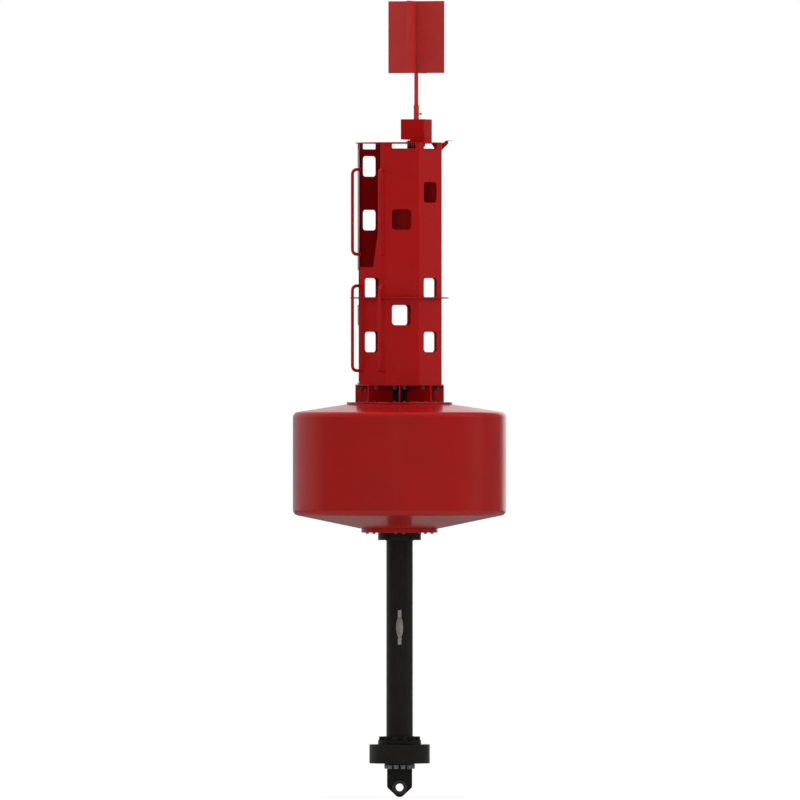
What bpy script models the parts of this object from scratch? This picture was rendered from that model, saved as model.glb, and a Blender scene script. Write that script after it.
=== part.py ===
"""Elastomer buoy with a folded octagonal tower, a tail tube and a ballast disc.

Metres, +Z up the buoy's axis, -Y to the front. The origin is at the tip of the mooring lug.
The heights form one stack, from the lug upwards, and each level is worked out from the one below.
"""

import math

import bmesh
import bpy
from mathutils import Matrix, Vector

# Clearances, and how far a fused bolt head reaches into its carrier
SEAT_GAP = 0.0003
HOLE_GAP = 0.001
FUSE_DEPTH = 0.002

# Mooring lug, its cheek bosses and its round base plate
LUG_WIDTH = 0.259
LUG_THICKNESS = 0.040
LUG_HEIGHT = 0.330
LUG_TAPER = math.radians(43)
LUG_TIP_RADIUS = 0.055
LUG_SHOULDER_RADIUS = 0.035
LUG_NECK_WIDTH = 0.200
MOORING_HOLE_RADIUS = 0.0395
MOORING_HOLE_HEIGHT = 0.100
BOSS_RADIUS = 0.075
BOSS_THICKNESS = 0.012
MOORING_PLATE_RADIUS = 0.155
MOORING_PLATE_THICKNESS = 0.018
MOORING_BOLT_CIRCLE_RADIUS = 0.1385
MOORING_BOLT_COUNT = 12
MOORING_BOLT_FLATS = 0.046
MOORING_BOLT_HEAD = 0.038

# Ballast disc, and the tail tube with a flange at each end
BALLAST_RADIUS = 0.3115
BALLAST_HEIGHT = 0.195
BALLAST_BORE_RADIUS = 0.050
BALLAST_EDGE = 0.004
FLANGE_RADIUS = 0.222
FLANGE_BOLT_CIRCLE_RADIUS = 0.190
FLANGE_BOLT_COUNT = 12
FOOT_FLANGE_THICKNESS = 0.042
BALLAST_STUD_FLATS = 0.055
BALLAST_STUD_HEAD = 0.039
TAIL_TUBE_RADIUS = 0.1365
TAIL_TUBE_WALL = 0.0093
TAIL_TUBE_LENGTH = 2.061
HEAD_FLANGE_THICKNESS = 0.0385
CORE_FLANGE_THICKNESS = 0.0385

# Sacrificial anodes on the tail tube
ANODE_HEIGHT = 1.750
ANODE_LENGTH = 0.225
ANODE_WIDTH = 0.077
ANODE_DEPTH = 0.044
STRAP_LENGTH = 0.356
STRAP_WIDTH = 0.037
STRAP_THICKNESS = 0.006

# Float with its clamp plates and the tube through its core
FLOAT_RADIUS = 1.100
FLOAT_TOP_RADIUS = 0.535
FLOAT_BOTTOM_RADIUS = 0.410
FLOAT_HEIGHT = 1.280
FLOAT_TOP_CONE_DROP = 0.0875
FLOAT_BOTTOM_CONE_RISE = 0.143
FLOAT_SHOULDER_RADIUS = 0.055
FLOAT_CHINE_RADIUS = 0.045
CORE_TUBE_RADIUS = 0.1095
CORE_TUBE_WALL = 0.010
BOTTOM_PLATE_RADIUS = 0.394
BOTTOM_PLATE_THICKNESS = 0.042
TOP_CLAMP_RADIUS = 0.545
TOP_CLAMP_THICKNESS = 0.020
CLAMP_BOLT_FLATS = 0.030
CLAMP_BOLT_HEAD = 0.013
CLAMP_BOLT_SPLAY = math.radians(7)
TOP_CLAMP_BOLT_CIRCLE_RADIUS = 0.417
BOTTOM_CLAMP_BOLT_CIRCLE_RADIUS = 0.335

# Collar of radial gussets under the tower
GUSSET_COUNT = 8
GUSSET_HEIGHT = 0.170
GUSSET_THICKNESS = 0.015
GUSSET_REACH = 0.456
GUSSET_SNIPE = 0.022
COLLAR_RING_THICKNESS = 0.012
COLLAR_RING_RADIUS = 0.458
TOWER_BOLT_CIRCLE_RADIUS = 0.392
TOWER_BOLT_SPLAY = math.radians(7.3)
TOWER_BOLT_FLATS = 0.036
TOWER_BOLT_HEAD = 0.015
TOWER_BOLT_NUT = 0.042

# Tower shell, folded to eight faces and turned a little from the collar
TOWER_TURN = math.radians(2.8)
TOWER_FACES = 8
TOWER_APOTHEM = 0.426
TOWER_WALL = 0.005
TOWER_HEIGHT = 2.480
BASE_FLANGE_THICKNESS = 0.012
BASE_FLANGE_BORE_RADIUS = 0.340
WINDOW_WIDTH = 0.197
WINDOW_HEIGHT = 0.210
WINDOW_CORNER_RADIUS = 0.033
WINDOW_PITCH = 0.277
FIRST_WINDOW_RISE = 0.437
NOTCH_DEPTH = 0.055
NOTCH_CORNER_RADIUS = 0.010
FRONT_NOTCH_EXTENSION = 0.046
DOORWAY_SILL_RISE = 1.206
DOORWAY_SLANT_RISE = 0.526
DOORWAY_TOP_RIGHT = 0.1165
DOORWAY_SILL_RIGHT = 0.018
HATCH_TOP_RISE = 1.176
HATCH_BAR_TOP_RISE = 0.821
HATCH_BAR_HEIGHT = 0.212
HATCH_SILL = 0.018
HATCH_WRAP = 0.025
HATCH_CORNER_RADIUS = 0.020
STEP_RING_RISE = 0.884
STEP_RING_RADIUS = 0.508
STEP_RING_THICKNESS = 0.013

# Grab rails beside the climbing face
RAIL_RADIUS = 0.0168
RAIL_HEIGHT = 0.906
RAIL_STANDOFF = 0.089
RAIL_BEND_RADIUS = 0.050
RAIL_FOOT_INSET = 0.0055
RAIL_STUB = 0.012
RAIL_SPLAY = 0.017
LOWER_RAIL_RISE = 0.125
UPPER_RAIL_RISE = 1.322

# Lantern plate on the tower, and the bracket at its right edge
LANTERN_PLATE_RADIUS = 0.455
LANTERN_PLATE_THICKNESS = 0.010
BRACKET_THICKNESS = 0.010
BRACKET_REACH = 0.075
BRACKET_DROP = 0.077
BRACKET_RISE = 0.016
BRACKET_NOSE = 0.030
BRACKET_PAD_LENGTH = 0.068
BRACKET_PAD_WIDTH = 0.060
BRACKET_PAD_THICKNESS = 0.005
WEB_REACH = 0.094
WEB_DROP = 0.137

# Topmark on its mast, with the hood around the mast's foot
MAST_OFFSET = 0.172
MAST_TURN = math.radians(-19.4)
FOOT_WIDTH = 0.170
FOOT_THICKNESS = 0.012
FOOT_BOLT_SPACING = 0.122
FOOT_BOLT_FLATS = 0.024
FOOT_BOLT_HEAD = 0.010
FOOT_BOLT_NUT = 0.030
FOOT_BOLT_RADIUS = 0.008
HOOD_WIDTH = 0.254
HOOD_HEIGHT = 0.240
HOOD_WALL = 0.004
HOOD_FOLD_RADIUS = 0.006
HOOD_PASSAGE_HEIGHT = 0.031
HOOD_PASSAGE_OFFSET = 0.024
MAST_RADIUS = 0.0212
MAST_WALL = 0.0032
MAST_LENGTH = 0.703
SLEEVE_RADIUS = 0.027
SLEEVE_LENGTH = 0.376
SLEEVE_BORE_GAP = 0.0004
CLAMP_SCREW_RISE = 0.283
CLAMP_SCREW_RADIUS = 0.006
CLAMP_SCREW_FLATS = 0.018
CLAMP_SCREW_HEAD = 0.012
CLAMP_SCREW_STANDOFF = 0.018
TOPMARK_WIDTH = 0.610
TOPMARK_HEIGHT = 0.742
TOPMARK_THICKNESS = 0.004

# Levels, from the lug's tip upwards
MOORING_PLATE_BASE = LUG_HEIGHT + SEAT_GAP
MOORING_PLATE_TOP = MOORING_PLATE_BASE + MOORING_PLATE_THICKNESS
BALLAST_BASE = MOORING_PLATE_TOP + SEAT_GAP
BALLAST_TOP = BALLAST_BASE + BALLAST_HEIGHT
FOOT_FLANGE_BASE = BALLAST_TOP + SEAT_GAP
FOOT_FLANGE_TOP = FOOT_FLANGE_BASE + FOOT_FLANGE_THICKNESS
TAIL_TUBE_BASE = FOOT_FLANGE_TOP + SEAT_GAP
TAIL_TUBE_TOP = TAIL_TUBE_BASE + TAIL_TUBE_LENGTH
HEAD_FLANGE_BASE = TAIL_TUBE_TOP + SEAT_GAP
HEAD_FLANGE_TOP = HEAD_FLANGE_BASE + HEAD_FLANGE_THICKNESS
CORE_FLANGE_BASE = HEAD_FLANGE_TOP + SEAT_GAP
CORE_FLANGE_TOP = CORE_FLANGE_BASE + CORE_FLANGE_THICKNESS
BOTTOM_PLATE_BASE = CORE_FLANGE_TOP + SEAT_GAP
BOTTOM_PLATE_TOP = BOTTOM_PLATE_BASE + BOTTOM_PLATE_THICKNESS
FLOAT_BASE = BOTTOM_PLATE_TOP + SEAT_GAP
FLOAT_TOP = FLOAT_BASE + FLOAT_HEIGHT
TOP_CLAMP_BASE = FLOAT_TOP + SEAT_GAP
TOP_CLAMP_TOP = TOP_CLAMP_BASE + TOP_CLAMP_THICKNESS
GUSSET_BASE = TOP_CLAMP_TOP + SEAT_GAP
GUSSET_TOP = GUSSET_BASE + GUSSET_HEIGHT
COLLAR_RING_BASE = GUSSET_TOP + SEAT_GAP
COLLAR_RING_TOP = COLLAR_RING_BASE + COLLAR_RING_THICKNESS
TOWER_BASE = COLLAR_RING_TOP + SEAT_GAP
TOWER_TOP = TOWER_BASE + TOWER_HEIGHT
LANTERN_PLATE_BASE = TOWER_TOP + SEAT_GAP
LANTERN_PLATE_TOP = LANTERN_PLATE_BASE + LANTERN_PLATE_THICKNESS
FOOT_BASE = LANTERN_PLATE_TOP + SEAT_GAP
FOOT_TOP = FOOT_BASE + FOOT_THICKNESS
HOOD_BASE = LANTERN_PLATE_TOP + SEAT_GAP
MAST_BASE = FOOT_TOP + SEAT_GAP
MAST_TOP = MAST_BASE + MAST_LENGTH
TOPMARK_BASE = MAST_TOP + SEAT_GAP

# Angles and half sizes that several pieces share
FACE_STEP = 2 * math.pi / TOWER_FACES
FACE_HALF_WIDTH = TOWER_APOTHEM * math.tan(FACE_STEP / 2)
INNER_HALF_WIDTH = (TOWER_APOTHEM - TOWER_WALL) * math.tan(FACE_STEP / 2)
GUSSET_STEP = 2 * math.pi / GUSSET_COUNT
CLIMBING_FACE = 7
LEFT_FACE = 6
FRONT_FACE = 0

# Windows: the tower's face, and how many pitches its centre lies above the first row
WINDOWS = (
    (1, 0), (3, 0), (5, 0), (7, 0),
    (0, 1), (2, 1), (4, 1),
    (1, 2), (3, 2), (5, 2), (7, 2),
    (0, 4.54), (1, 5.55),
    (5, 4.54), (5, 6.54),
)

# Facet counts of round pieces
FLOAT_STEPS = 72
PLATE_STEPS = 48
TUBE_STEPS = 40
SMALL_STEPS = 20
HOLE_STEPS = 8
HEX_STEPS = 6
ARC_STEPS = 4


def clear_scene():
    """Remove every object, so that the model starts from an empty scene."""
    for item in list(bpy.data.objects):
        bpy.data.objects.remove(item, do_unlink=True)


def make_collection(name):
    """Add a collection to the scene."""
    collection = bpy.data.collections.new(name)
    bpy.context.scene.collection.children.link(collection)
    return collection


def make_material(name, colour, roughness, metallic):
    """Make a Principled material from a linear colour, a roughness and a metallic value."""
    material = bpy.data.materials.new(name)
    material.use_nodes = True
    shader = material.node_tree.nodes["Principled BSDF"]
    shader.inputs["Base Color"].default_value = (*colour, 1.0)
    shader.inputs["Roughness"].default_value = roughness
    shader.inputs["Metallic"].default_value = metallic
    return material


def make_empty(name, collection, location, turn):
    """Add an empty that carries a turned group of pieces."""
    empty = bpy.data.objects.new(name, None)
    empty.location = location
    empty.rotation_euler = (0, 0, turn)
    collection.objects.link(empty)
    return empty


def rounded(corners, radii, steps=ARC_STEPS):
    """Return a 2D outline through the corners, each turned into an arc of its own radius."""
    points = []
    count = len(corners)
    for index, radius in enumerate(radii):
        corner = Vector(corners[index])
        if radius == 0:
            points.append(corner)
            continue
        back = (Vector(corners[index - 1]) - corner).normalized()
        ahead = (Vector(corners[(index + 1) % count]) - corner).normalized()
        half_angle = back.angle(ahead) / 2
        centre = corner + (back + ahead).normalized() * radius / math.sin(half_angle)
        start = corner + back * radius / math.tan(half_angle) - centre
        end = corner + ahead * radius / math.tan(half_angle) - centre
        sweep = start.angle_signed(end)
        for step in range(steps + 1):
            arm = start.copy()
            arm.rotate(Matrix.Rotation(-sweep * step / steps, 2))
            points.append(centre + arm)
    return points


def circle(radius, steps, centre=(0, 0), phase=0.0):
    """Return a closed round outline as points."""
    angles = [phase + 2 * math.pi * step / steps for step in range(steps)]
    return [(centre[0] + radius * math.cos(a), centre[1] + radius * math.sin(a)) for a in angles]


def polygon(apothem, sides):
    """Return a regular outline with a flat side to the front."""
    corner_radius = apothem / math.cos(math.pi / sides)
    return circle(corner_radius, sides, phase=-math.pi / 2 + math.pi / sides)


def rectangle(left, right, bottom, top):
    """Return the four corners of a rectangle, counter-clockwise."""
    return [(left, bottom), (right, bottom), (right, top), (left, top)]


def around(radius, angles):
    """Return points on a circle at the given angles."""
    return [(radius * math.cos(angle), radius * math.sin(angle)) for angle in angles]


def even_angles(count):
    """Return evenly spaced angles that straddle the X and Y axes."""
    return [2 * math.pi * (index + 0.5) / count for index in range(count)]


def paired_angles(splay):
    """Return two angles for each gusset, one on each side of it."""
    return [index * GUSSET_STEP + side * splay for index in range(GUSSET_COUNT) for side in (-1, 1)]


def outline_curve(name, outlines, thickness):
    """Make a flat filled curve from closed outlines, extruded both ways by half the thickness."""
    curve = bpy.data.curves.new(name, "CURVE")
    curve.dimensions = "2D"
    curve.fill_mode = "BOTH"
    curve.extrude = thickness / 2
    for outline in outlines:
        spline = curve.splines.new("POLY")
        spline.points.add(len(outline) - 1)
        for point, place in zip(spline.points, outline):
            point.co = (place[0], place[1], 0, 1)
        spline.use_cyclic_u = True
    return curve


def evaluated_mesh(source):
    """Return the mesh that an object shows, with its loose caps welded, and remove the object."""
    bpy.context.view_layer.update()
    shown = source.evaluated_get(bpy.context.evaluated_depsgraph_get())
    mesh = bpy.data.meshes.new_from_object(shown)
    bpy.data.objects.remove(source, do_unlink=True)
    work = bmesh.new()
    work.from_mesh(mesh)
    bmesh.ops.remove_doubles(work, verts=work.verts, dist=0.00001)
    work.to_mesh(mesh)
    work.free()
    return mesh


def joined_mesh(name, pieces):
    """Return one mesh that holds each (mesh, matrix) of the pieces."""
    work = bmesh.new()
    for mesh, matrix in pieces:
        first = len(work.verts)
        work.from_mesh(mesh)
        work.verts.ensure_lookup_table()
        bmesh.ops.transform(work, matrix=matrix, verts=work.verts[first:])
    mesh = bpy.data.meshes.new(name)
    work.to_mesh(mesh)
    work.free()
    return mesh


class Workshop:
    """The collections, the materials and the ways in which a piece of the buoy is made."""

    def __init__(self):
        clear_scene()
        self.parts = make_collection("elastomer_buoy")
        self.cutters = make_collection("cutters")
        self.red_paint = make_material("red_paint", (0.32, 0.012, 0.011), 0.42, 0.0)
        self.red_skin = make_material("red_elastomer", (0.27, 0.013, 0.011), 0.36, 0.0)
        self.black_paint = make_material("black_paint", (0.011, 0.011, 0.010), 0.50, 0.0)
        self.zinc = make_material("zinc", (0.26, 0.24, 0.21), 0.60, 0.7)
        self.steel = make_material("galvanised_steel", (0.42, 0.43, 0.43), 0.45, 0.9)
        self.axis = make_empty("buoy_axis", self.parts, (0, 0, 0), 0)
        self.tower_axis = make_empty("tower_axis", self.parts, (0, 0, 0), TOWER_TURN)
        self.mast_axis = make_empty("mast_axis", self.parts, (MAST_OFFSET, 0, 0), MAST_TURN)

    def place(self, name, data, material, parent=None, location=(0, 0, 0), rotation=(0, 0, 0)):
        """Add a named piece of the buoy at its place under an empty."""
        data.materials.clear()
        data.materials.append(material)
        item = bpy.data.objects.new(name, data)
        item.parent = parent or self.axis
        item.location = location
        item.rotation_euler = rotation
        self.parts.objects.link(item)
        return item

    def plate(self, name, outlines, thickness, base, material, parent=None):
        """Add a level plate that is cut to the outlines and lies on the base height."""
        curve = outline_curve(name, outlines, thickness)
        return self.place(name, curve, material, parent, (0, 0, base + thickness / 2))

    def upright(self, name, outline, thickness, material, parent=None, turn=0.0):
        """Add a plate that stands on edge, with its outline read as distance out and height."""
        curve = outline_curve(name, outline, thickness)
        return self.place(name, curve, material, parent, rotation=(math.pi / 2, 0, turn))

    def turned(self, name, profile, steps, material, closed=False, parent=None, **placing):
        """Add a piece turned about Z from its profile of (radius, height) points."""
        mesh = bpy.data.meshes.new(name)
        edges = [(index, index + 1) for index in range(len(profile) - 1)]
        if closed:
            edges.append((len(profile) - 1, 0))
        mesh.from_pydata([(radius, 0, height) for radius, height in profile], edges, [])
        item = self.place(name, mesh, material, parent, **placing)
        screw = item.modifiers.new("turn", "SCREW")
        screw.steps = steps
        screw.render_steps = steps
        screw.use_merge_vertices = True
        screw.merge_threshold = 0.00001
        return item

    def ring(self, name, outer, inner, base, top, steps, material, parent=None, edge=0.0):
        """Add a round ring or tube, with its outer edges chamfered where an edge size is given."""
        profile = [(inner, top), (outer - edge, top), (outer, top - edge)]
        profile += [(outer, base + edge), (outer - edge, base), (inner, base)]
        corners = list(dict.fromkeys(profile))
        return self.turned(name, corners, steps, material, closed=True, parent=parent)

    def solid_plate(self, name, outlines, thickness, base, material, parent=None):
        """Add a level plate as a mesh, which can take a Boolean."""
        mesh = evaluated_mesh(self.plate(name, outlines, thickness, base, material))
        return self.place(name, mesh, material, parent, (0, 0, base + thickness / 2))

    def fuse_heads(self, target, places, flats, base, top, parent=None):
        """Fuse equal hexagon bolt heads or nuts to the piece that carries them."""
        head = self.prism(circle(flats / math.sqrt(3), HEX_STEPS), top - base)
        middle = (base + top) / 2
        copies = [(head, Matrix.Translation((x, y, middle))) for x, y in places]
        self.combine(target, copies, "UNION", parent)

    def tube_path(self, name, points, radius, material, parent=None):
        """Add a bent round bar along the points, with closed ends."""
        curve = bpy.data.curves.new(name, "CURVE")
        curve.dimensions = "3D"
        curve.bevel_depth = radius
        curve.bevel_resolution = 3
        curve.use_fill_caps = True
        spline = curve.splines.new("POLY")
        spline.points.add(len(points) - 1)
        for point, place in zip(spline.points, points):
            point.co = (*place, 1)
        return self.place(name, curve, material, parent)

    def prism(self, outline, depth):
        """Return a closed mesh of an outline, as deep to each side as half the depth."""
        curve = outline_curve("prism", [outline], depth)
        item = bpy.data.objects.new("prism", curve)
        self.cutters.objects.link(item)
        return evaluated_mesh(item)

    def cut(self, target, pieces, parent=None):
        """Cut the joined (mesh, matrix) pieces out of a target."""
        self.combine(target, pieces, "DIFFERENCE", parent)

    def combine(self, target, pieces, operation, parent=None):
        """Cut or fuse the joined (mesh, matrix) pieces with a target by a Boolean."""
        cutter = bpy.data.objects.new(target.name + "_cutter", joined_mesh("cutter", pieces))
        cutter.parent = parent or self.axis
        cutter.hide_render = True
        cutter.display_type = "WIRE"
        self.cutters.objects.link(cutter)
        boolean = target.modifiers.new(operation.lower(), "BOOLEAN")
        boolean.operation = operation
        boolean.solver = "EXACT"
        boolean.object = cutter


def bolt_profile(flats, head, nut, radius, head_base, nut_top):
    """Return a bolt's profile with its head above the joint and its nut below it."""
    corner = flats / math.sqrt(3)
    return [
        (0, head_base + head),
        (corner, head_base + head),
        (corner, head_base),
        (radius, head_base),
        (radius, nut_top),
        (corner, nut_top),
        (corner, nut_top - nut),
        (0, nut_top - nut),
    ]


def hole_outlines(places):
    """Return round clearance holes for the mast foot's bolts."""
    hole_radius = (FOOT_BOLT_RADIUS + HOLE_GAP) / math.cos(math.pi / HOLE_STEPS)
    return [circle(hole_radius, HOLE_STEPS, place) for place in places]


def build_mooring(shop):
    """Make the lug, its cheek bosses, and its base plate with the bolts that hold it."""
    apex = LUG_TIP_RADIUS - LUG_TIP_RADIUS / math.cos(LUG_TAPER)
    half = LUG_WIDTH / 2
    shoulder = apex + half * math.tan(LUG_TAPER)
    neck = LUG_NECK_WIDTH / 2
    under_heads = LUG_HEIGHT - MOORING_BOLT_HEAD - HOLE_GAP
    corners = [
        (-neck, LUG_HEIGHT),
        (-neck, under_heads),
        (-half, under_heads),
        (-half, shoulder),
        (0, apex),
        (half, shoulder),
        (half, under_heads),
        (neck, under_heads),
        (neck, LUG_HEIGHT),
    ]
    radii = [0, 0, 0, LUG_SHOULDER_RADIUS, LUG_TIP_RADIUS, LUG_SHOULDER_RADIUS, 0, 0, 0]
    hole = circle(MOORING_HOLE_RADIUS, SMALL_STEPS, (0, MOORING_HOLE_HEIGHT))
    shop.upright("mooring_lug", [rounded(corners, radii, 6), hole], LUG_THICKNESS, shop.black_paint)

    inner_face = LUG_THICKNESS / 2 + SEAT_GAP
    outer_face = inner_face + BOSS_THICKNESS
    for name, turn in (("lug_boss_front", 0), ("lug_boss_back", math.pi)):
        boss = shop.ring(
            name, BOSS_RADIUS, MOORING_HOLE_RADIUS, inner_face, outer_face, SMALL_STEPS, shop.black_paint
        )
        boss.rotation_euler = (math.pi / 2, 0, turn)
        boss.location = (0, 0, MOORING_HOLE_HEIGHT)

    outline = [circle(MOORING_PLATE_RADIUS, PLATE_STEPS)]
    plate = shop.solid_plate(
        "mooring_plate", outline, MOORING_PLATE_THICKNESS, MOORING_PLATE_BASE, shop.black_paint
    )
    places = around(MOORING_BOLT_CIRCLE_RADIUS, even_angles(MOORING_BOLT_COUNT))
    shop.fuse_heads(
        plate,
        places,
        MOORING_BOLT_FLATS,
        MOORING_PLATE_BASE - MOORING_BOLT_HEAD,
        MOORING_PLATE_BASE + FUSE_DEPTH,
    )


def build_ballast(shop):
    """Make the ballast disc between the mooring plate and the tail tube's foot flange."""
    shop.ring(
        "ballast_disc",
        BALLAST_RADIUS,
        BALLAST_BORE_RADIUS,
        BALLAST_BASE,
        BALLAST_TOP,
        PLATE_STEPS,
        shop.black_paint,
        edge=BALLAST_EDGE,
    )


def build_tail(shop):
    """Make the tail tube, its two flanges and the flange of the float's core."""
    outer = circle(FLANGE_RADIUS, PLATE_STEPS)
    bore = circle(TAIL_TUBE_RADIUS - TAIL_TUBE_WALL, TUBE_STEPS)
    foot_flange = shop.solid_plate(
        "tail_foot_flange", [outer, bore], FOOT_FLANGE_THICKNESS, FOOT_FLANGE_BASE, shop.black_paint
    )
    places = around(FLANGE_BOLT_CIRCLE_RADIUS, even_angles(FLANGE_BOLT_COUNT))
    shop.fuse_heads(
        foot_flange,
        places,
        BALLAST_STUD_FLATS,
        FOOT_FLANGE_TOP - FUSE_DEPTH,
        FOOT_FLANGE_TOP + BALLAST_STUD_HEAD,
    )
    shop.ring(
        "tail_tube",
        TAIL_TUBE_RADIUS,
        TAIL_TUBE_RADIUS - TAIL_TUBE_WALL,
        TAIL_TUBE_BASE,
        TAIL_TUBE_TOP,
        TUBE_STEPS,
        shop.black_paint,
    )
    shop.plate(
        "tail_head_flange", [outer, bore], HEAD_FLANGE_THICKNESS, HEAD_FLANGE_BASE, shop.black_paint
    )
    core_bore = circle(CORE_TUBE_RADIUS + SEAT_GAP, TUBE_STEPS)
    shop.plate("core_flange", [outer, core_bore], CORE_FLANGE_THICKNESS, CORE_FLANGE_BASE, shop.black_paint)


def build_anode(shop, side, turn):
    """Make one zinc anode and the steel strap cast into it, on one side of the tail tube."""
    strap_back = TAIL_TUBE_RADIUS + SEAT_GAP
    strap_middle = strap_back + STRAP_THICKNESS / 2
    holder = make_empty(f"anode_axis_{side}", shop.parts, (0, 0, ANODE_HEIGHT), turn)
    half_width = STRAP_WIDTH / 2
    half_length = STRAP_LENGTH / 2
    corner = STRAP_WIDTH / 4
    strap_outline = rounded(
        rectangle(-half_width, half_width, -half_length, half_length), [corner] * 4
    )
    shop.place(
        f"anode_strap_{side}",
        outline_curve("anode_strap", [strap_outline], STRAP_THICKNESS),
        shop.steel,
        holder,
        (0, -strap_middle, 0),
        (math.pi / 2, 0, 0),
    )

    bpy.ops.mesh.primitive_uv_sphere_add(segments=16, ring_count=10, radius=1)
    ball = bpy.context.object
    mesh = ball.data.copy()
    bpy.data.objects.remove(ball, do_unlink=True)
    mesh.transform(Matrix.Diagonal((ANODE_WIDTH / 2, ANODE_DEPTH, ANODE_LENGTH / 2, 1)))
    body = shop.place(f"anode_{side}", mesh, shop.zinc, holder, (0, -strap_back, 0))
    slot_width = half_width + SEAT_GAP
    slot = shop.prism(
        rectangle(-slot_width, slot_width, -ANODE_LENGTH, ANODE_LENGTH),
        STRAP_THICKNESS + 2 * SEAT_GAP,
    )
    back = shop.prism(
        rectangle(-ANODE_WIDTH, ANODE_WIDTH, -ANODE_LENGTH, ANODE_LENGTH),
        2 * ANODE_DEPTH,
    )
    stand = Matrix.Rotation(math.pi / 2, 4, "X")
    shop.cut(body, [(slot, Matrix.Translation((0, -strap_middle, 0)) @ stand)], holder)
    back_middle = -strap_middle + ANODE_DEPTH
    shop.cut(body, [(back, Matrix.Translation((0, back_middle, 0)) @ stand)], holder)


def build_float(shop):
    """Make the skinned float, the tube through its core, and the plates that clamp it."""
    bore = CORE_TUBE_RADIUS + SEAT_GAP
    corners = [
        (bore, FLOAT_TOP),
        (FLOAT_TOP_RADIUS, FLOAT_TOP),
        (FLOAT_RADIUS, FLOAT_TOP - FLOAT_TOP_CONE_DROP),
        (FLOAT_RADIUS, FLOAT_BASE + FLOAT_BOTTOM_CONE_RISE),
        (FLOAT_BOTTOM_RADIUS, FLOAT_BASE),
        (bore, FLOAT_BASE),
    ]
    radii = [0, 0, FLOAT_SHOULDER_RADIUS, FLOAT_CHINE_RADIUS, 0, 0]
    shop.turned("float_body", rounded(corners, radii), FLOAT_STEPS, shop.red_skin, closed=True)

    shop.ring(
        "core_tube",
        CORE_TUBE_RADIUS,
        CORE_TUBE_RADIUS - CORE_TUBE_WALL,
        CORE_FLANGE_BASE,
        COLLAR_RING_TOP,
        TUBE_STEPS,
        shop.black_paint,
    )
    bore_outline = circle(bore, TUBE_STEPS)

    outlines = [circle(BOTTOM_PLATE_RADIUS, PLATE_STEPS), bore_outline]
    bottom = shop.solid_plate(
        "float_bottom_plate", outlines, BOTTOM_PLATE_THICKNESS, BOTTOM_PLATE_BASE, shop.red_paint
    )
    places = around(BOTTOM_CLAMP_BOLT_CIRCLE_RADIUS, paired_angles(CLAMP_BOLT_SPLAY))
    head_bottom = BOTTOM_PLATE_BASE - CLAMP_BOLT_HEAD
    shop.fuse_heads(bottom, places, CLAMP_BOLT_FLATS, head_bottom, BOTTOM_PLATE_BASE + FUSE_DEPTH)

    outlines = [circle(TOP_CLAMP_RADIUS, PLATE_STEPS), bore_outline]
    top = shop.solid_plate(
        "float_top_plate", outlines, TOP_CLAMP_THICKNESS, TOP_CLAMP_BASE, shop.red_paint
    )
    places = around(TOP_CLAMP_BOLT_CIRCLE_RADIUS, paired_angles(CLAMP_BOLT_SPLAY))
    head_top = TOP_CLAMP_TOP + CLAMP_BOLT_HEAD
    shop.fuse_heads(top, places, CLAMP_BOLT_FLATS, TOP_CLAMP_TOP - FUSE_DEPTH, head_top)


def build_collar(shop):
    """Make the radial gussets, the ring that the tower stands on, and the tower's bolts."""
    inner = CORE_TUBE_RADIUS + SEAT_GAP
    outline = [
        (inner, GUSSET_BASE + GUSSET_SNIPE),
        (inner + GUSSET_SNIPE, GUSSET_BASE),
        (GUSSET_REACH, GUSSET_BASE),
        (GUSSET_REACH, GUSSET_TOP),
        (inner + GUSSET_SNIPE, GUSSET_TOP),
        (inner, GUSSET_TOP - GUSSET_SNIPE),
    ]
    for index in range(GUSSET_COUNT):
        name = f"collar_gusset_{index + 1}"
        turn = index * GUSSET_STEP
        shop.upright(name, [outline], GUSSET_THICKNESS, shop.red_paint, turn=turn)

    outlines = [circle(COLLAR_RING_RADIUS, PLATE_STEPS), circle(inner, TUBE_STEPS)]
    ring = shop.solid_plate("collar_ring", outlines, COLLAR_RING_THICKNESS, COLLAR_RING_BASE, shop.red_paint)
    places = around(TOWER_BOLT_CIRCLE_RADIUS, paired_angles(TOWER_BOLT_SPLAY))
    nut_base = COLLAR_RING_BASE - TOWER_BOLT_NUT
    shop.fuse_heads(ring, places, TOWER_BOLT_FLATS, nut_base, COLLAR_RING_BASE + FUSE_DEPTH)


def face_matrix(face, height):
    """Return the matrix that lays an outline on a face: X to its right, Y up, Z out of it."""
    angle = -math.pi / 2 + face * FACE_STEP
    out = Vector((math.cos(angle), math.sin(angle), 0))
    up = Vector((0, 0, 1))
    right = up.cross(out)
    turn = Matrix((right, up, out)).transposed().to_4x4()
    centre = out * (TOWER_APOTHEM - TOWER_WALL / 2)
    centre.z = height
    return Matrix.Translation(centre) @ turn


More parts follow.
